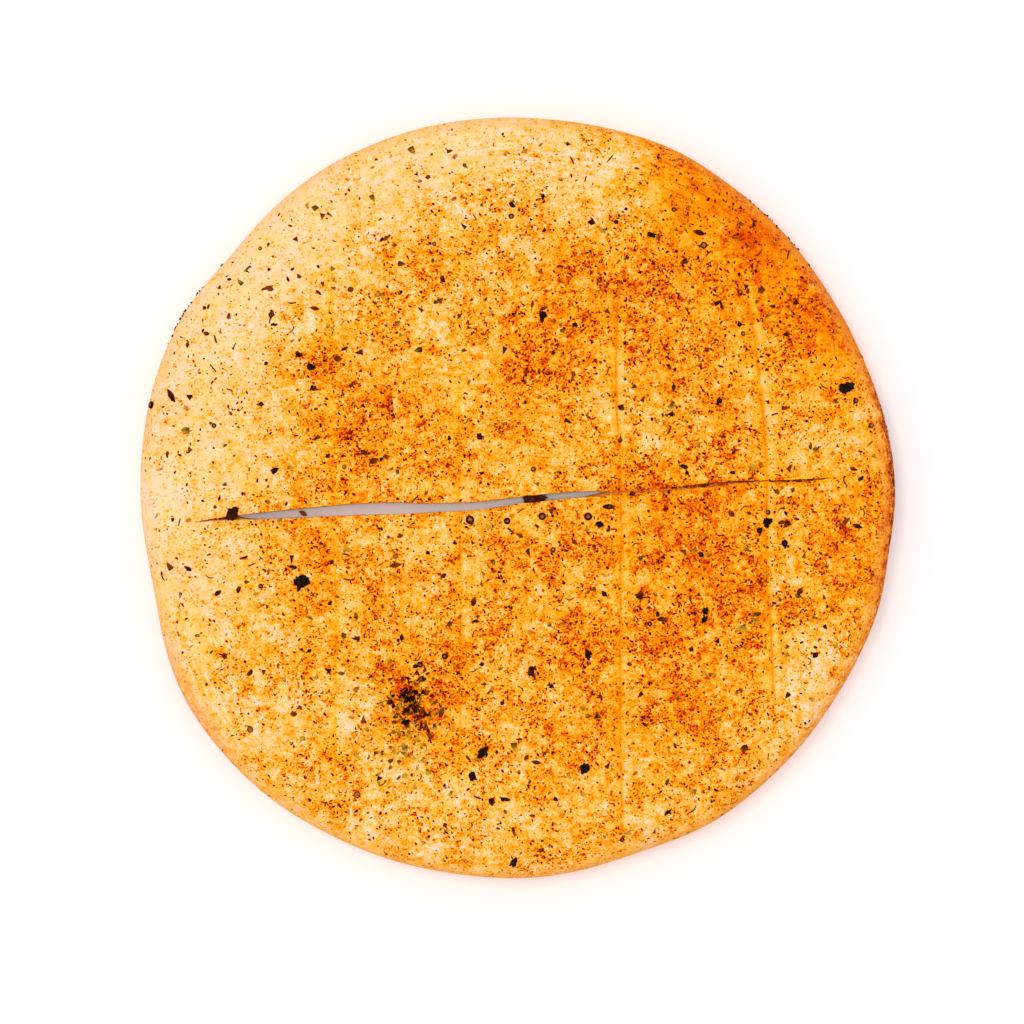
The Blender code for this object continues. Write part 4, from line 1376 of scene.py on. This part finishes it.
def chunk_shape(seed):
    """A charred chunk, one unit each way: two or three sliced blocks grown together, rough all over."""
    draw = random.Random(seed)
    begin()
    chunk = sliced_block(draw, *CHUNK_BLOCK)
    lumps = []
    for _ in range(draw.choice(LUMP_COUNTS)):
        side = draw.choice((-1.0, 1.0))
        middle = (draw.uniform(*LUMP_ALONG), side * draw.uniform(*LUMP_ACROSS), draw.uniform(*LUMP_UP))
        begin()
        lumps.append(sliced_block(draw, middle, draw.uniform(*LUMP_SIZES)))
    join(chunk, lumps)
    remesh = chunk.modifiers.new("even", "REMESH")
    remesh.mode = "VOXEL"
    remesh.voxel_size = CHUNK_MESH
    apply_modifier(chunk, remesh)
    corners = corners_of(chunk)
    outward = corners / np.maximum(np.linalg.norm(corners, axis=1), 1e-6)[:, None]
    for wavelength, height in CHUNK_ROUGHNESS:
        rough = [noise.noise(Vector(corner) / wavelength + Vector((seed, 0.0, 0.0))) for corner in corners]
        corners = corners + outward * (height * np.array(rough))[:, None]
    low = corners.min(axis=0)
    high = corners.max(axis=0)
    put_corners(chunk, (corners - 0.5 * (low + high)) / (high - low))
    return shape_of(chunk)


def leaf_shape(profile, fold, curl, seed):
    """A dried leaf or a piece of one, one unit long. The profile gives its half widths from end to end."""
    begin()
    bpy.ops.mesh.primitive_grid_add(x_subdivisions=len(profile) - 1, y_subdivisions=2, size=1.0)
    leaf = newly_added("leaf_shape")
    corners = corners_of(leaf)
    share = corners[:, 0] + 0.5
    across = 2.0 * corners[:, 1]
    half = np.interp(share, np.linspace(0.0, 1.0, len(profile)), profile)
    corners[:, 1] = across * half
    corners[:, 2] = fold * np.abs(across) * half + curl * (2.0 * share - 1.0) ** 2
    put_corners(leaf, corners)
    jitter(leaf, FLAKE_JITTER, seed)
    thicken(leaf, LEAF_THICKNESS)
    along, across, _ = corners_of(leaf).T
    width, paler = VEIN_PALER
    return shape_of(leaf, paler * bell(across, width) + END_DARKER * along)


def shard_shape(sides, seed):
    """A broken flake, one unit across: a plate with straight edges, bent up a little in the middle."""
    draw = random.Random(seed)
    begin()
    bpy.ops.mesh.primitive_circle_add(vertices=sides, radius=0.5, fill_type="TRIFAN")
    shard = newly_added("shard_shape")
    corners = corners_of(shard)
    reach = np.hypot(corners[:, 0], corners[:, 1])
    corners[:, :2] *= np.array([[draw.uniform(*SHARD_REACH)] for _ in corners])
    uneven = [draw.uniform(-SHARD_UNEVEN, SHARD_UNEVEN) for _ in corners]
    corners[:, 2] = np.where(reach < 0.1, SHARD_BOW, uneven)
    put_corners(shard, corners)
    jitter(shard, FLAKE_JITTER, seed)
    thicken(shard, SHARD_THICKNESS)
    return shape_of(shard, END_DARKER * corners_of(shard)[:, 0])


def stem_shape(bend, seed):
    """A thin dry stem, one unit long and bent in its own plane."""
    begin()
    bpy.ops.mesh.primitive_cylinder_add(
        vertices=STEM_SIDES, radius=STEM_RADIUS, depth=1.0, rotation=(0.0, math.radians(90.0), 0.0)
    )
    stem = newly_added("stem_shape")
    bpy.ops.object.transform_apply(location=False, rotation=True, scale=False)
    cut_in_rows(stem, 0, STEM_ROWS)
    corners = corners_of(stem)
    along = corners[:, 0]
    corners[:, 1:] *= (1.0 - STEM_TAPER * np.abs(along))[:, None]
    corners[:, 1] += bend * (1.0 - 4.0 * along**2)
    put_corners(stem, corners)
    jitter(stem, STEM_JITTER, seed)
    return shape_of(stem)


def seed_shape():
    """A round seed, one unit across, with a shallow ring pressed into its top."""
    begin()
    bpy.ops.mesh.primitive_uv_sphere_add(segments=18, ring_count=12, radius=0.5)
    seed = newly_added("seed_shape")
    corners = corners_of(seed)
    reach = np.hypot(corners[:, 0], corners[:, 1])
    upper = corners[:, 2] > 0.0
    radius, spread, depth = SEED_GROOVE
    corners[:, 2] -= np.where(upper, depth * bell(reach - radius, spread), 0.0)
    corners[:, 2] *= SEED_FLATNESS
    put_corners(seed, corners)
    jitter(seed, *SEED_JITTER)
    spread, lighter = SEED_HEART
    heart = np.where(upper, lighter * bell(reach, spread), 0.0)
    radius, spread, darker = SEED_RING
    return shape_of(seed, heart - darker * bell(reach - radius, spread))


def grain_shape(sides, taper, seed):
    """A grain of ground spice, one unit across: a low stub with uneven corners."""
    begin()
    bpy.ops.mesh.primitive_cone_add(vertices=sides, radius1=0.5, radius2=0.5 * taper, depth=GRAIN_HEIGHT)
    grain = newly_added("grain_shape")
    jitter(grain, GRAIN_JITTER, seed)
    return shape_of(grain)


def joined_copies(name, copies):
    """One piece out of many copies. Each copy is a shape, a frame and a tone, and has corners of its own."""
    corner_runs = []
    faces = []
    tones = []
    count = 0
    for (corners, shape_faces, shades), place, tone in copies:
        matrix = np.array(place)
        corner_runs.append(corners @ matrix[:3, :3].T + matrix[:3, 3])
        faces.extend(tuple(corner + count for corner in face) for face in shape_faces)
        tones.append(tone + shades)
        count += len(corners)
    mesh = bpy.data.meshes.new(name)
    mesh.from_pydata(np.vstack(corner_runs).tolist(), [], faces)
    piece = bpy.data.objects.new(name, mesh)
    bpy.context.scene.collection.objects.link(piece)
    set_attribute(piece, "tone", np.concatenate(tones))
    return piece


def sized(frame_there, length, width, height):
    return frame_there @ Matrix.Diagonal((length, width, height, 1.0))


UPWARD = Vector((0.0, 0.0, 1.0))
DOWNWARD = Vector((0.0, 0.0, -1.0))


def frame_at(point, normal, turn, lean=0.0):
    tilt = UPWARD.rotation_difference(normal).to_matrix().to_4x4()
    spin = Matrix.Rotation(math.radians(turn), 4, "Z")
    tip = Matrix.Rotation(math.radians(lean), 4, "Y")
    return Matrix.Translation(point) @ tilt @ spin @ tip


def on_top(skin, x, y, turn, lean=0.0, lift=0.0):
    """A frame on the top of the bread, its Z along the normal there, or None over a cut or past the edge."""
    point, normal, _, _ = skin.ray_cast(Vector((x, y, TOP_LEVEL)), DOWNWARD)
    if point is None or point.z < LOWEST_TOPPED or normal.z < STEEPEST:
        return None
    return frame_at(point + normal * lift, normal, turn, lean)


def laid_at(skin, x, y, turn):
    """A frame for a piece with a place of its own, level where it lies across a cut."""
    point, normal, _, _ = skin.ray_cast(Vector((x, y, TOP_LEVEL)), DOWNWARD)
    if point is None:
        point = Vector((x, y, float(plain_height(x, y)[0])))
        normal = UPWARD
    if normal.z < STEEPEST:
        normal = UPWARD
    return frame_at(point, normal, turn)


def on_side(skin, angle, height, turn):
    """A frame on the side of the bread, in a direction and at a height."""
    outward = Vector((math.cos(angle), math.sin(angle), 0.0))
    start = outward * 2.0 * MEAN_RADIUS + Vector((0.0, 0.0, height))
    point, normal, _, _ = skin.ray_cast(start, -outward)
    if point is None:
        return None
    return frame_at(point, normal, turn)


def thickness_of_sprinkle(x, y):
    """How thick the sprinkled things lie at each place, from 0 to about 1.6."""
    angle = np.arctan2(y, x)
    share = np.hypot(x, y) / MEAN_RADIUS
    thick = THIN - lobe(angle, *THIN_RIM) * smooth_step(*THIN_RIM_FROM, share)
    return with_bells(thick, x, y, THICK)


def as_sprinkled(evenness):
    """More wanted where the sprinkle lies thick. The more even, the less it matters."""
    return lambda x, y: evenness + thickness_of_sprinkle(x, y)


def as_clustered(x, y):
    return thickness_of_sprinkle(x, y) * gathering_at(x, y)


def as_browned(x, y):
    return SPICE_ON_BARE + np.maximum(browning_at(x, y) - SPICE_FROM, 0.0) * gathering_at(x, y)


def random_places(draw, count, wanted, reach_share):
    """Places on the top. What is wanted there is the chance, from 0 to 1, that a place is kept."""
    places = []
    while len(places) < count:
        angle = draw.uniform(-math.pi, math.pi, BATCH)
        reach = reach_share * outline_radius(angle) * np.sqrt(draw.random(BATCH))
        x = reach * np.cos(angle)
        y = reach * np.sin(angle)
        chosen = draw.random(BATCH) < wanted(x, y)
        places.extend(zip(x[chosen].tolist(), y[chosen].tolist()))
    return places[:count]


def one_of(draw, shapes):
    return shapes[draw.integers(len(shapes))]


def any_turn(draw):
    return draw.uniform(0.0, 360.0)


def mostly_short(draw, lengths, rarity):
    shortest, longest = lengths
    return shortest + (longest - shortest) * draw.random() ** rarity


def sprinkle(skin, draw, count, wanted, make, reach_share=TOPPED_SHARE):
    """Lays copies all over the top. Each is made for its place, with a size and a tone of its own."""
    copies = []
    for x, y in random_places(draw, count, wanted, reach_share):
        turn = any_turn(draw)
        lean = draw.uniform(-SPRINKLE_LEAN, SPRINKLE_LEAN)
        there = on_top(skin, x, y, turn, lean, draw.uniform(0.0, SPRINKLE_LIFT))
        if there is not None:
            copies.append(make(there))
    return copies


def burnt_pieces(skin, chunks):
    copies = []
    for number, (x, y, length, width, turn, tone) in enumerate(BURNT_BITS):
        there = laid_at(skin, x, y, turn)
        place = sized(there, length, width, BURNT_FLATNESS * width)
        copies.append((chunks[number % CHUNK_KINDS], place, tone))
    x, y = CRUMB_PLACE
    length, width = CRUMB_SIZE
    height = float(plain_height(x, y)[0]) - CRUMB_DROP
    there = Matrix.Translation((x, y, height)) @ Matrix.Rotation(math.radians(CRUMB_TURN), 4, "Z")
    copies.append((chunks[CRUMB_KIND], sized(there, length, width, width), CRUMB_TONE))
    return copies


def flake_pieces(skin, flakes, draw, kind):
    count, evenness, lengths = kind

    def make(there):
        length = mostly_short(draw, lengths, FLAKE_RARITY)
        broad = length * draw.uniform(*FLAKE_BREADTHS)
        return one_of(draw, flakes), sized(there, length, broad, length), draw.random()

    return sprinkle(skin, draw, count, as_sprinkled(evenness), make)


def placed_leaves(skin, leaf):
    copies = []
    for x, y, length, width, turn, tone in LEAVES:
        copies.append((leaf, sized(laid_at(skin, x, y, turn), length, 2.0 * width, length), tone))
    return copies


def clump_pieces(skin, shapes, draw, clump):
    """A heap of pieces that lie over one another round one spot."""
    middle_x, middle_y, across, along, count, lengths, tones, rise = clump
    copies = []
    for _ in range(count):
        step_x = draw.normal()
        step_y = draw.normal()
        lift = rise * draw.random() * float(bell(math.hypot(step_x, step_y), 1.0))
        turn = any_turn(draw)
        lean = draw.uniform(-CLUMP_LEAN, CLUMP_LEAN)
        there = on_top(skin, middle_x + across * step_x, middle_y + along * step_y, turn, lean, lift)
        if there is not None:
            length = draw.uniform(*lengths)
            broad = length * draw.uniform(*CLUMP_BREADTHS)
            copies.append((one_of(draw, shapes), sized(there, length, broad, length), draw.uniform(*tones)))
    return copies


def stem_pieces(skin, stems, draw):
    count, evenness, lengths, thicknesses, tones = STEMS

    def make(there):
        length = draw.uniform(*lengths)
        thick = draw.uniform(*thicknesses)
        place = sized(there, length, max(length, STEM_LEAST_WIDTH * thick), thick)
        return one_of(draw, stems), place, draw.uniform(*tones)

    return sprinkle(skin, draw, count, as_sprinkled(evenness), make)


def seed_pieces(skin, seed, draw):
    """The seeds with places of their own, and a few small loose ones."""
    copies = []
    for x, y, diameter, tone in SEEDS:
        there = laid_at(skin, x, y, any_turn(draw))
        copies.append((seed, sized(there, diameter, diameter, diameter), tone))
    count, evenness, sizes, tones = LOOSE_SEEDS

    def make(there):
        diameter = draw.uniform(*sizes)
        return seed, sized(there, diameter, diameter, LOOSE_SEED_FLATNESS * diameter), draw.uniform(*tones)

    return copies + sprinkle(skin, draw, count, as_sprinkled(evenness), make)


def chilli_pieces(skin, grains, draw):
    count, evenness, lengths, tones = CHILLI_BITS

    def make(there):
        length = draw.uniform(*lengths)
        place = sized(there, length, SPECK_WIDTH * length, CHILLI_FLATNESS * length)
        return one_of(draw, grains), place, draw.uniform(*tones)

    return sprinkle(skin, draw, count, as_sprinkled(evenness), make)


def ground_grains(skin, grains, draw, kind, wanted):
    count, lengths, widths, flatness = kind

    def make(there):
        length = mostly_short(draw, lengths, GRAIN_RARITY)
        width = length * draw.uniform(*widths)
        return one_of(draw, grains), sized(there, length, width, flatness * width), draw.random()

    return sprinkle(skin, draw, count, wanted, make, SPECKED_SHARE)


def side_specks(skin, grains, draw):
    """Specks all round the side, and larger crumbs that cling to the rim in a few clusters."""
    directions = draw.uniform(-180.0, 180.0, SIDE_SPECKS)
    specks = [(direction, FLAT_SPECK, *SIDE_SPECK) for direction in directions]
    for middle, spread, count, tall in RIM_CRUMBS:
        specks += [(direction, tall, *RIM_CRUMB) for direction in draw.normal(middle, spread, count)]
    copies = []
    for direction, tall, shortest, longest, low, high in specks:
        there = on_side(skin, math.radians(direction), draw.uniform(low, high), any_turn(draw))
        if there is not None:
            length = draw.uniform(shortest, longest)
            sunk = there @ Matrix.Translation((0.0, 0.0, -SPECK_SUNK))
            place = sized(sunk, length, SPECK_WIDTH * length, tall * length)
            copies.append((one_of(draw, grains), place, draw.random()))
    return copies


def linear(value):
    share = value / 255.0
    if share <= 0.04045:
        return share / 12.92
    return ((share + 0.055) / 1.055) ** 2.4


def paint(colour):
    """The paint that comes out in the picture as the given red, green and blue of 255."""
    return tuple(linear(value) / LIGHT_GAIN for value in colour) + (1.0,)


def feed(tree, socket, value):
    """Sets a socket to a value, or links it to another socket."""
    if isinstance(value, bpy.types.NodeSocket):
        tree.links.new(value, socket)
    else:
        socket.default_value = value


def add_node(tree, kind, inputs=None, **settings):
    """A new node with its settings made and the named or numbered inputs fed."""
    node = tree.nodes.new(kind)
    for name, value in settings.items():
        setattr(node, name, value)
    for name, value in (inputs or {}).items():
        feed(tree, node.inputs[name], value)
    return node


def work_out(tree, operation, first, second=0.0):
    return add_node(tree, "ShaderNodeMath", {0: first, 1: second}, operation=operation).outputs[0]


def plus(tree, first, second):
    return work_out(tree, "ADD", first, second)


def times(tree, first, second):
    return work_out(tree, "MULTIPLY", first, second)


def read_attribute(tree, name):
    return add_node(tree, "ShaderNodeAttribute", attribute_name=name).outputs["Fac"]


def object_place(tree):
    return add_node(tree, "ShaderNodeTexCoord").outputs["Object"]


def grainy(tree, place, wavelength, detail=2.0, roughness=0.5):
    inputs = {"Vector": place, "Scale": 1.0 / wavelength, "Detail": detail, "Roughness": roughness}
    return add_node(tree, "ShaderNodeTexNoise", inputs).outputs[0]


def between(tree, value, low, high, to_low=0.0, to_high=1.0, how="LINEAR"):
    inputs = {"Value": value, "From Min": low, "From Max": high, "To Min": to_low, "To Max": to_high}
    return add_node(tree, "ShaderNodeMapRange", inputs, clamp=True, interpolation_type=how).outputs[0]


def colour_scale(tree, value, colours):
    """Runs through colours as a value goes from the first one's place to the last one's."""
    low = colours[0][0]
    high = colours[-1][0]
    node = add_node(tree, "ShaderNodeValToRGB")
    stops = node.color_ramp.elements
    while len(stops) < len(colours):
        stops.new(0.5)
    for stop, (place, colour) in zip(stops, colours):
        stop.position = (place - low) / (high - low)
        stop.color = paint(colour)
    feed(tree, node.inputs["Fac"], between(tree, value, low, high))
    return node.outputs["Color"]


def mixed(tree, share, first, second, how="MIX"):
    inputs = {0: share, 6: first, 7: second}
    return add_node(tree, "ShaderNodeMix", inputs, data_type="RGBA", blend_type=how).outputs[2]


def bumped(tree, height, distance, strength):
    inputs = {"Height": height, "Distance": distance, "Strength": strength}
    return add_node(tree, "ShaderNodeBump", inputs).outputs["Normal"]


def new_material(name):
    material = bpy.data.materials.new(name)
    material.use_nodes = True
    tree = material.node_tree
    shader = tree.nodes["Principled BSDF"]
    return material, tree, shader


def warped(tree, place, wavelength, distance):
    """The place, moved about a little, so that what is drawn with it has uneven edges."""
    wobble = add_node(tree, "ShaderNodeTexNoise", {"Vector": place, "Scale": 1.0 / wavelength})
    inputs = {0: wobble.outputs["Color"], 1: (distance, distance, distance), 2: place}
    return add_node(tree, "ShaderNodeVectorMath", inputs, operation="MULTIPLY_ADD").outputs[0]


def dots(tree, place, cell, reach, share, core, turn=0.0, slimness=1.0):
    """Separate dots: one in some of the cells, full within its core and gone at its reach."""
    inputs = {
        "Vector": place,
        "Rotation": (0.0, 0.0, math.radians(turn)),
        "Scale": (cell, cell / slimness, cell),
    }
    turned = add_node(tree, "ShaderNodeMapping", inputs, vector_type="TEXTURE").outputs[0]
    cells = add_node(tree, "ShaderNodeTexVoronoi", {"Vector": turned, "Scale": 1.0}, feature="F1")
    parts = add_node(tree, "ShaderNodeSeparateColor", {0: cells.outputs["Color"]})
    chosen = work_out(tree, "LESS_THAN", parts.outputs[0], share)
    near = between(tree, cells.outputs["Distance"], reach, core * reach, how="SMOOTHSTEP")
    return times(tree, chosen, near)


def stretch_lines(tree, place):
    """Fine lines that run round the bread along its rim."""
    parts = add_node(tree, "ShaderNodeSeparateXYZ", {0: place})
    reach = add_node(tree, "ShaderNodeVectorMath", {0: place}, operation="LENGTH").outputs["Value"]
    turn = work_out(tree, "ARCTAN2", parts.outputs[1], parts.outputs[0])
    inputs = {0: times(tree, reach, 1.0 / STRETCH_SPACING), 1: times(tree, turn, STRETCH_BREAKS)}
    unrolled = add_node(tree, "ShaderNodeCombineXYZ", inputs).outputs[0]
    return grainy(tree, unrolled, 1.0, 1.0)


def dough_tint(tree, place):
    """The dough is yellower here and more like peach there."""
    wide, fine = (times(tree, grainy(tree, place, size, 1.0), share) for size, share in TINT_WAVES)
    share = between(tree, plus(tree, wide, fine), *TINT_RANGE)
    return mixed(tree, share, (*YELLOW_TINT, 1.0), (*PEACH_TINT, 1.0))


def mottled(tree, index, place, browning, spiced):
    """The place on the skin's colours, moved up and down by mottles of several sizes."""
    here = times(tree, between(tree, browning, 0.0, MOTTLE_FULL, BARE_MOTTLE, 1.0), spiced)
    for wavelength, strength, soft in MOTTLES:
        grain = grainy(tree, place, wavelength, 1.0)
        stain = between(tree, grain, 0.5 - soft, 0.5 + soft, -0.5 * strength, 0.5 * strength)
        index = plus(tree, index, times(tree, stain, here))
    return index


def stained(tree, index, place, browning, spiced):
    """The place on the skin's colours, moved up by stains and grains of spice and down by paler spots."""
    place = warped(tree, place, *STAIN_WOBBLE)
    gathered = read_attribute(tree, "clustered")
    gathered = between(tree, gathered, 0.0, 1.0, 1.0 - CLUSTER_SPREAD, 1.0 + CLUSTER_SPREAD)
    gathered = times(tree, gathered, spiced)
    for number, (cell, reach, browner, on_bare, on_brownest, core) in enumerate(STAINS):
        amount = times(tree, between(tree, browning, 0.0, 1.0, on_bare, on_brownest), gathered)
        stain = dots(tree, place, cell, reach, amount, core, STAIN_TURN * number, STAIN_SLIMNESS)
        index = plus(tree, index, times(tree, stain, browner))
    return index


def skin_index(tree, place):
    """The place on the skin's colours: its browning with its mottles, stains and stretch lines."""
    # The browning also carries the painted shade and highlight beside the pits and the painted highlight on
    # the scores' lips.
    browning = read_attribute(tree, "browning")
    spiced = work_out(tree, "SUBTRACT", 1.0, read_attribute(tree, "clean"))
    index = times(tree, browning, 1.0 - STAINED_GROUND)
    index = mottled(tree, index, place, browning, spiced)
    index = stained(tree, index, place, browning, spiced)
    lines = work_out(tree, "SUBTRACT", stretch_lines(tree, place), 0.5)
    return plus(tree, index, times(tree, lines, read_attribute(tree, "stretched")))


def with_walls(tree, colour, place):
    tone = between(tree, grainy(tree, place, *WALL_GRAIN), *WALL_RANGE)
    return mixed(tree, read_attribute(tree, "wall"), colour, colour_scale(tree, tone, WALL_COLOURS))


def with_crust(tree, colour, place):
    """The colour with the baked parts of the rim and the side over it, and the painted shade on the walls at
    the narrow ends of the slit.
    """
    first, second = (grainy(tree, place, wavelength, 1.0) for wavelength in BAKED_GRAINS)
    uneven = between(tree, plus(tree, first, second), *BAKED_UNEVEN)
    baked = times(tree, read_attribute(tree, "baked"), uneven)
    crust = colour_scale(tree, baked, BAKED_COLOURS)
    return mixed(tree, between(tree, baked, *BAKED_COVER), colour, crust)


def skin_material():
    """Baked dough with paprika and oil on it, mottled at several sizes, stained and dotted with spice."""
    material, tree, shader = new_material("baked_dough")
    place = object_place(tree)
    colour = colour_scale(tree, skin_index(tree, place), SKIN_COLOURS)
    colour = mixed(tree, 1.0, colour, dough_tint(tree, place), "MULTIPLY")
    colour = mixed(tree, read_attribute(tree, "buttered"), colour, (*BUTTER_TINT, 1.0), "MULTIPLY")
    # Painted shade along the bottom of each score.
    colour = mixed(tree, read_attribute(tree, "score_shade"), colour, paint(SCORE_SHADE_COLOUR))
    colour = with_walls(tree, colour, place)
    colour = with_crust(tree, colour, place)
    base = colour_scale(tree, grainy(tree, place, *BASE_GRAIN), BASE_COLOURS)
    colour = mixed(tree, read_attribute(tree, "base"), colour, base)
    feed(tree, shader.inputs["Base Color"], colour)
    shader.inputs["Roughness"].default_value = SKIN_ROUGHNESS
    shader.inputs["Specular IOR Level"].default_value = SKIN_SPECULAR
    first, second = (grainy(tree, place, wavelength) for wavelength in SKIN_GRAINS)
    feed(tree, shader.inputs["Normal"], bumped(tree, plus(tree, first, second), *SKIN_BUMP))
    return material


def toned_material(name, colours, grain, roughness, specular, bump, unevenness):
    """A finish that takes its colour from each copy's own tone, varied by a fine grain."""
    material, tree, shader = new_material(name)
    place = object_place(tree)
    uneven = work_out(tree, "SUBTRACT", grainy(tree, place, grain), 0.5)
    tone = plus(tree, read_attribute(tree, "tone"), times(tree, uneven, unevenness))
    feed(tree, shader.inputs["Base Color"], colour_scale(tree, tone, colours))
    shader.inputs["Roughness"].default_value = roughness
    shader.inputs["Specular IOR Level"].default_value = specular
    size, depth = TONED_BUMP
    feed(tree, shader.inputs["Normal"], bumped(tree, grainy(tree, place, size * grain), depth, bump))
    return material


def finished(piece, material, slot_name, smooth_degrees):
    """Gives a piece its finish, moves it over the origin with the bread, and lets it ride on the body."""
    piece.data.materials.clear()
    piece.data.materials.append(material)
    pick(piece)
    bpy.ops.object.shade_smooth_by_angle(angle=math.radians(smooth_degrees))
    piece.data.transform(Matrix.Translation((-OFF_MIDDLE[0], -OFF_MIDDLE[1], 0.0)))
    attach(piece, "root")


def off_middle():
    """How far the middle of the outline's box is from the middle of the mean circle."""
    outline = outline_radius(RIM_ANGLES)
    x = outline * np.cos(RIM_ANGLES)
    y = outline * np.sin(RIM_ANGLES)
    return 0.5 * (x.min() + x.max()), 0.5 * (y.min() + y.max())


OFF_MIDDLE = off_middle()


def add_bits(name, copies):
    """One piece out of all the copies of a kind, with that kind's own finish."""
    slot_name, smooth_degrees, *finish = FINISHES[name]
    finished(joined_copies(name, copies), toned_material(*finish), slot_name, smooth_degrees)


def add_herbs(skin, draw):
    leaves = [leaf_shape(*kind) for kind in LEAF_KINDS]
    husks = [leaf_shape(*kind) for kind in HUSK_KINDS]
    shards = [shard_shape(sides, SHARD_SEED + number) for number, sides in enumerate(SHARD_SIDES)]
    stems = [stem_shape(bend, number) for number, bend in enumerate(STEM_BENDS)]
    flakes = 2 * leaves + shards
    dark = flake_pieces(skin, flakes, draw, DARK_FLAKES)
    dark += placed_leaves(skin, leaves[0])
    for shapes, clump in ((flakes, BURNT_CLUMP), (flakes, DARK_CLUMP), (stems, CLUMP_STEMS)):
        dark += clump_pieces(skin, shapes, draw, clump)
    add_bits("dark_herb_flakes", dark)
    olive = flake_pieces(skin, flakes, draw, OLIVE_FLAKES)
    olive += clump_pieces(skin, flakes, draw, OLIVE_CLUMP)
    add_bits("olive_herb_flakes", olive)
    add_bits("tan_husks", flake_pieces(skin, husks, draw, HUSKS))
    add_bits("dry_stems", stem_pieces(skin, stems, draw))


def add_spices(skin, draw):
    grains = [grain_shape(sides, taper, sides) for sides, taper in GRAIN_KINDS]
    pyramids = [grain_shape(PYRAMID_SIDES, 0.0, PYRAMID_SEED + number) for number in range(PYRAMID_KINDS)]
    add_bits("round_seeds", seed_pieces(skin, seed_shape(), draw))
    add_bits("chilli_bits", chilli_pieces(skin, grains, draw))
    add_bits("spice_grains", ground_grains(skin, pyramids, draw, SPICE_GRAINS, as_browned))
    pepper = ground_grains(skin, grains, draw, PEPPER_SPECKS, as_clustered)
    add_bits("pepper_specks", pepper + side_specks(skin, grains, draw))


def top_the_bread(body):
    """All that lies on the bread, one piece for each kind."""
    skin = BVHTree.FromObject(body, bpy.context.evaluated_depsgraph_get())
    draw = np.random.default_rng(SPRINKLE_SEED)
    chunks = [chunk_shape(number) for number in range(CHUNK_KINDS)]
    add_bits("burnt_bits", burnt_pieces(skin, chunks))
    add_herbs(skin, draw)
    add_spices(skin, draw)


def pale_floor():
    begin()
    bpy.ops.mesh.primitive_plane_add(size=FLOOR_SIZE, location=(0.0, 0.0, -FLOOR_DROP))
    floor = newly_added("floor")
    material, _, shader = new_material("pale_floor")
    shader.inputs["Base Color"].default_value = FLOOR_COLOUR
    shader.inputs["Roughness"].default_value = FLOOR_ROUGHNESS
    shader.inputs["Specular IOR Level"].default_value = 0.0
    floor.data.materials.append(material)


def soft_light():
    world = bpy.data.worlds.new("studio")
    world.use_nodes = True
    backdrop = world.node_tree.nodes["Background"]
    backdrop.inputs["Color"].default_value = (1.0, 1.0, 1.0, 1.0)
    backdrop.inputs["Strength"].default_value = WORLD_STRENGTH
    bpy.context.scene.world = world
    disc_light("key_light", KEY_PLACE, KEY_SIZE, KEY_POWER)
    disc_light("overhead_light", OVERHEAD_PLACE, OVERHEAD_SIZE, OVERHEAD_POWER)


def disc_light(name, place, size, power):
    """A round light that faces the middle of the bread."""
    begin()
    bpy.ops.object.light_add(type="AREA", location=place)
    light = bpy.context.active_object
    light.name = name
    light.data.shape = "DISK"
    light.data.size = size
    light.data.energy = power
    light.rotation_euler = (-Vector(place)).to_track_quat("-Z", "Y").to_euler()


def camera_above():
    """A camera straight over the bread, with the picture's middle where the photograph has it."""
    picture_width = IMAGE_SIDE * PIXEL
    x = (0.5 * IMAGE_SIDE - MIDDLE_PIXEL[0]) * PIXEL - OFF_MIDDLE[0]
    y = (MIDDLE_PIXEL[1] - 0.5 * IMAGE_SIDE) * PIXEL - OFF_MIDDLE[1]
    distance = picture_width * LENS / SENSOR
    begin()
    bpy.ops.object.camera_add(location=(x, y, SCALE_HEIGHT + distance), rotation=(0.0, 0.0, 0.0))
    camera = bpy.context.active_object
    camera.name = "camera"
    camera.data.lens = LENS
    camera.data.sensor_width = SENSOR
    camera.data.clip_end = FAR_LIMIT
    bpy.context.scene.camera = camera


def plain_colours():
    view = bpy.context.scene.view_settings
    view.view_transform = "Standard"
    view.look = "None"
    view.exposure = 0.0
    view.gamma = 1.0


plain_colours()
camera_above()
soft_light()
pale_floor()
bread = bread_skin()
top_the_bread(bread)
finished(bread, skin_material(), "crust", SKIN_SMOOTH)
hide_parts("bread")
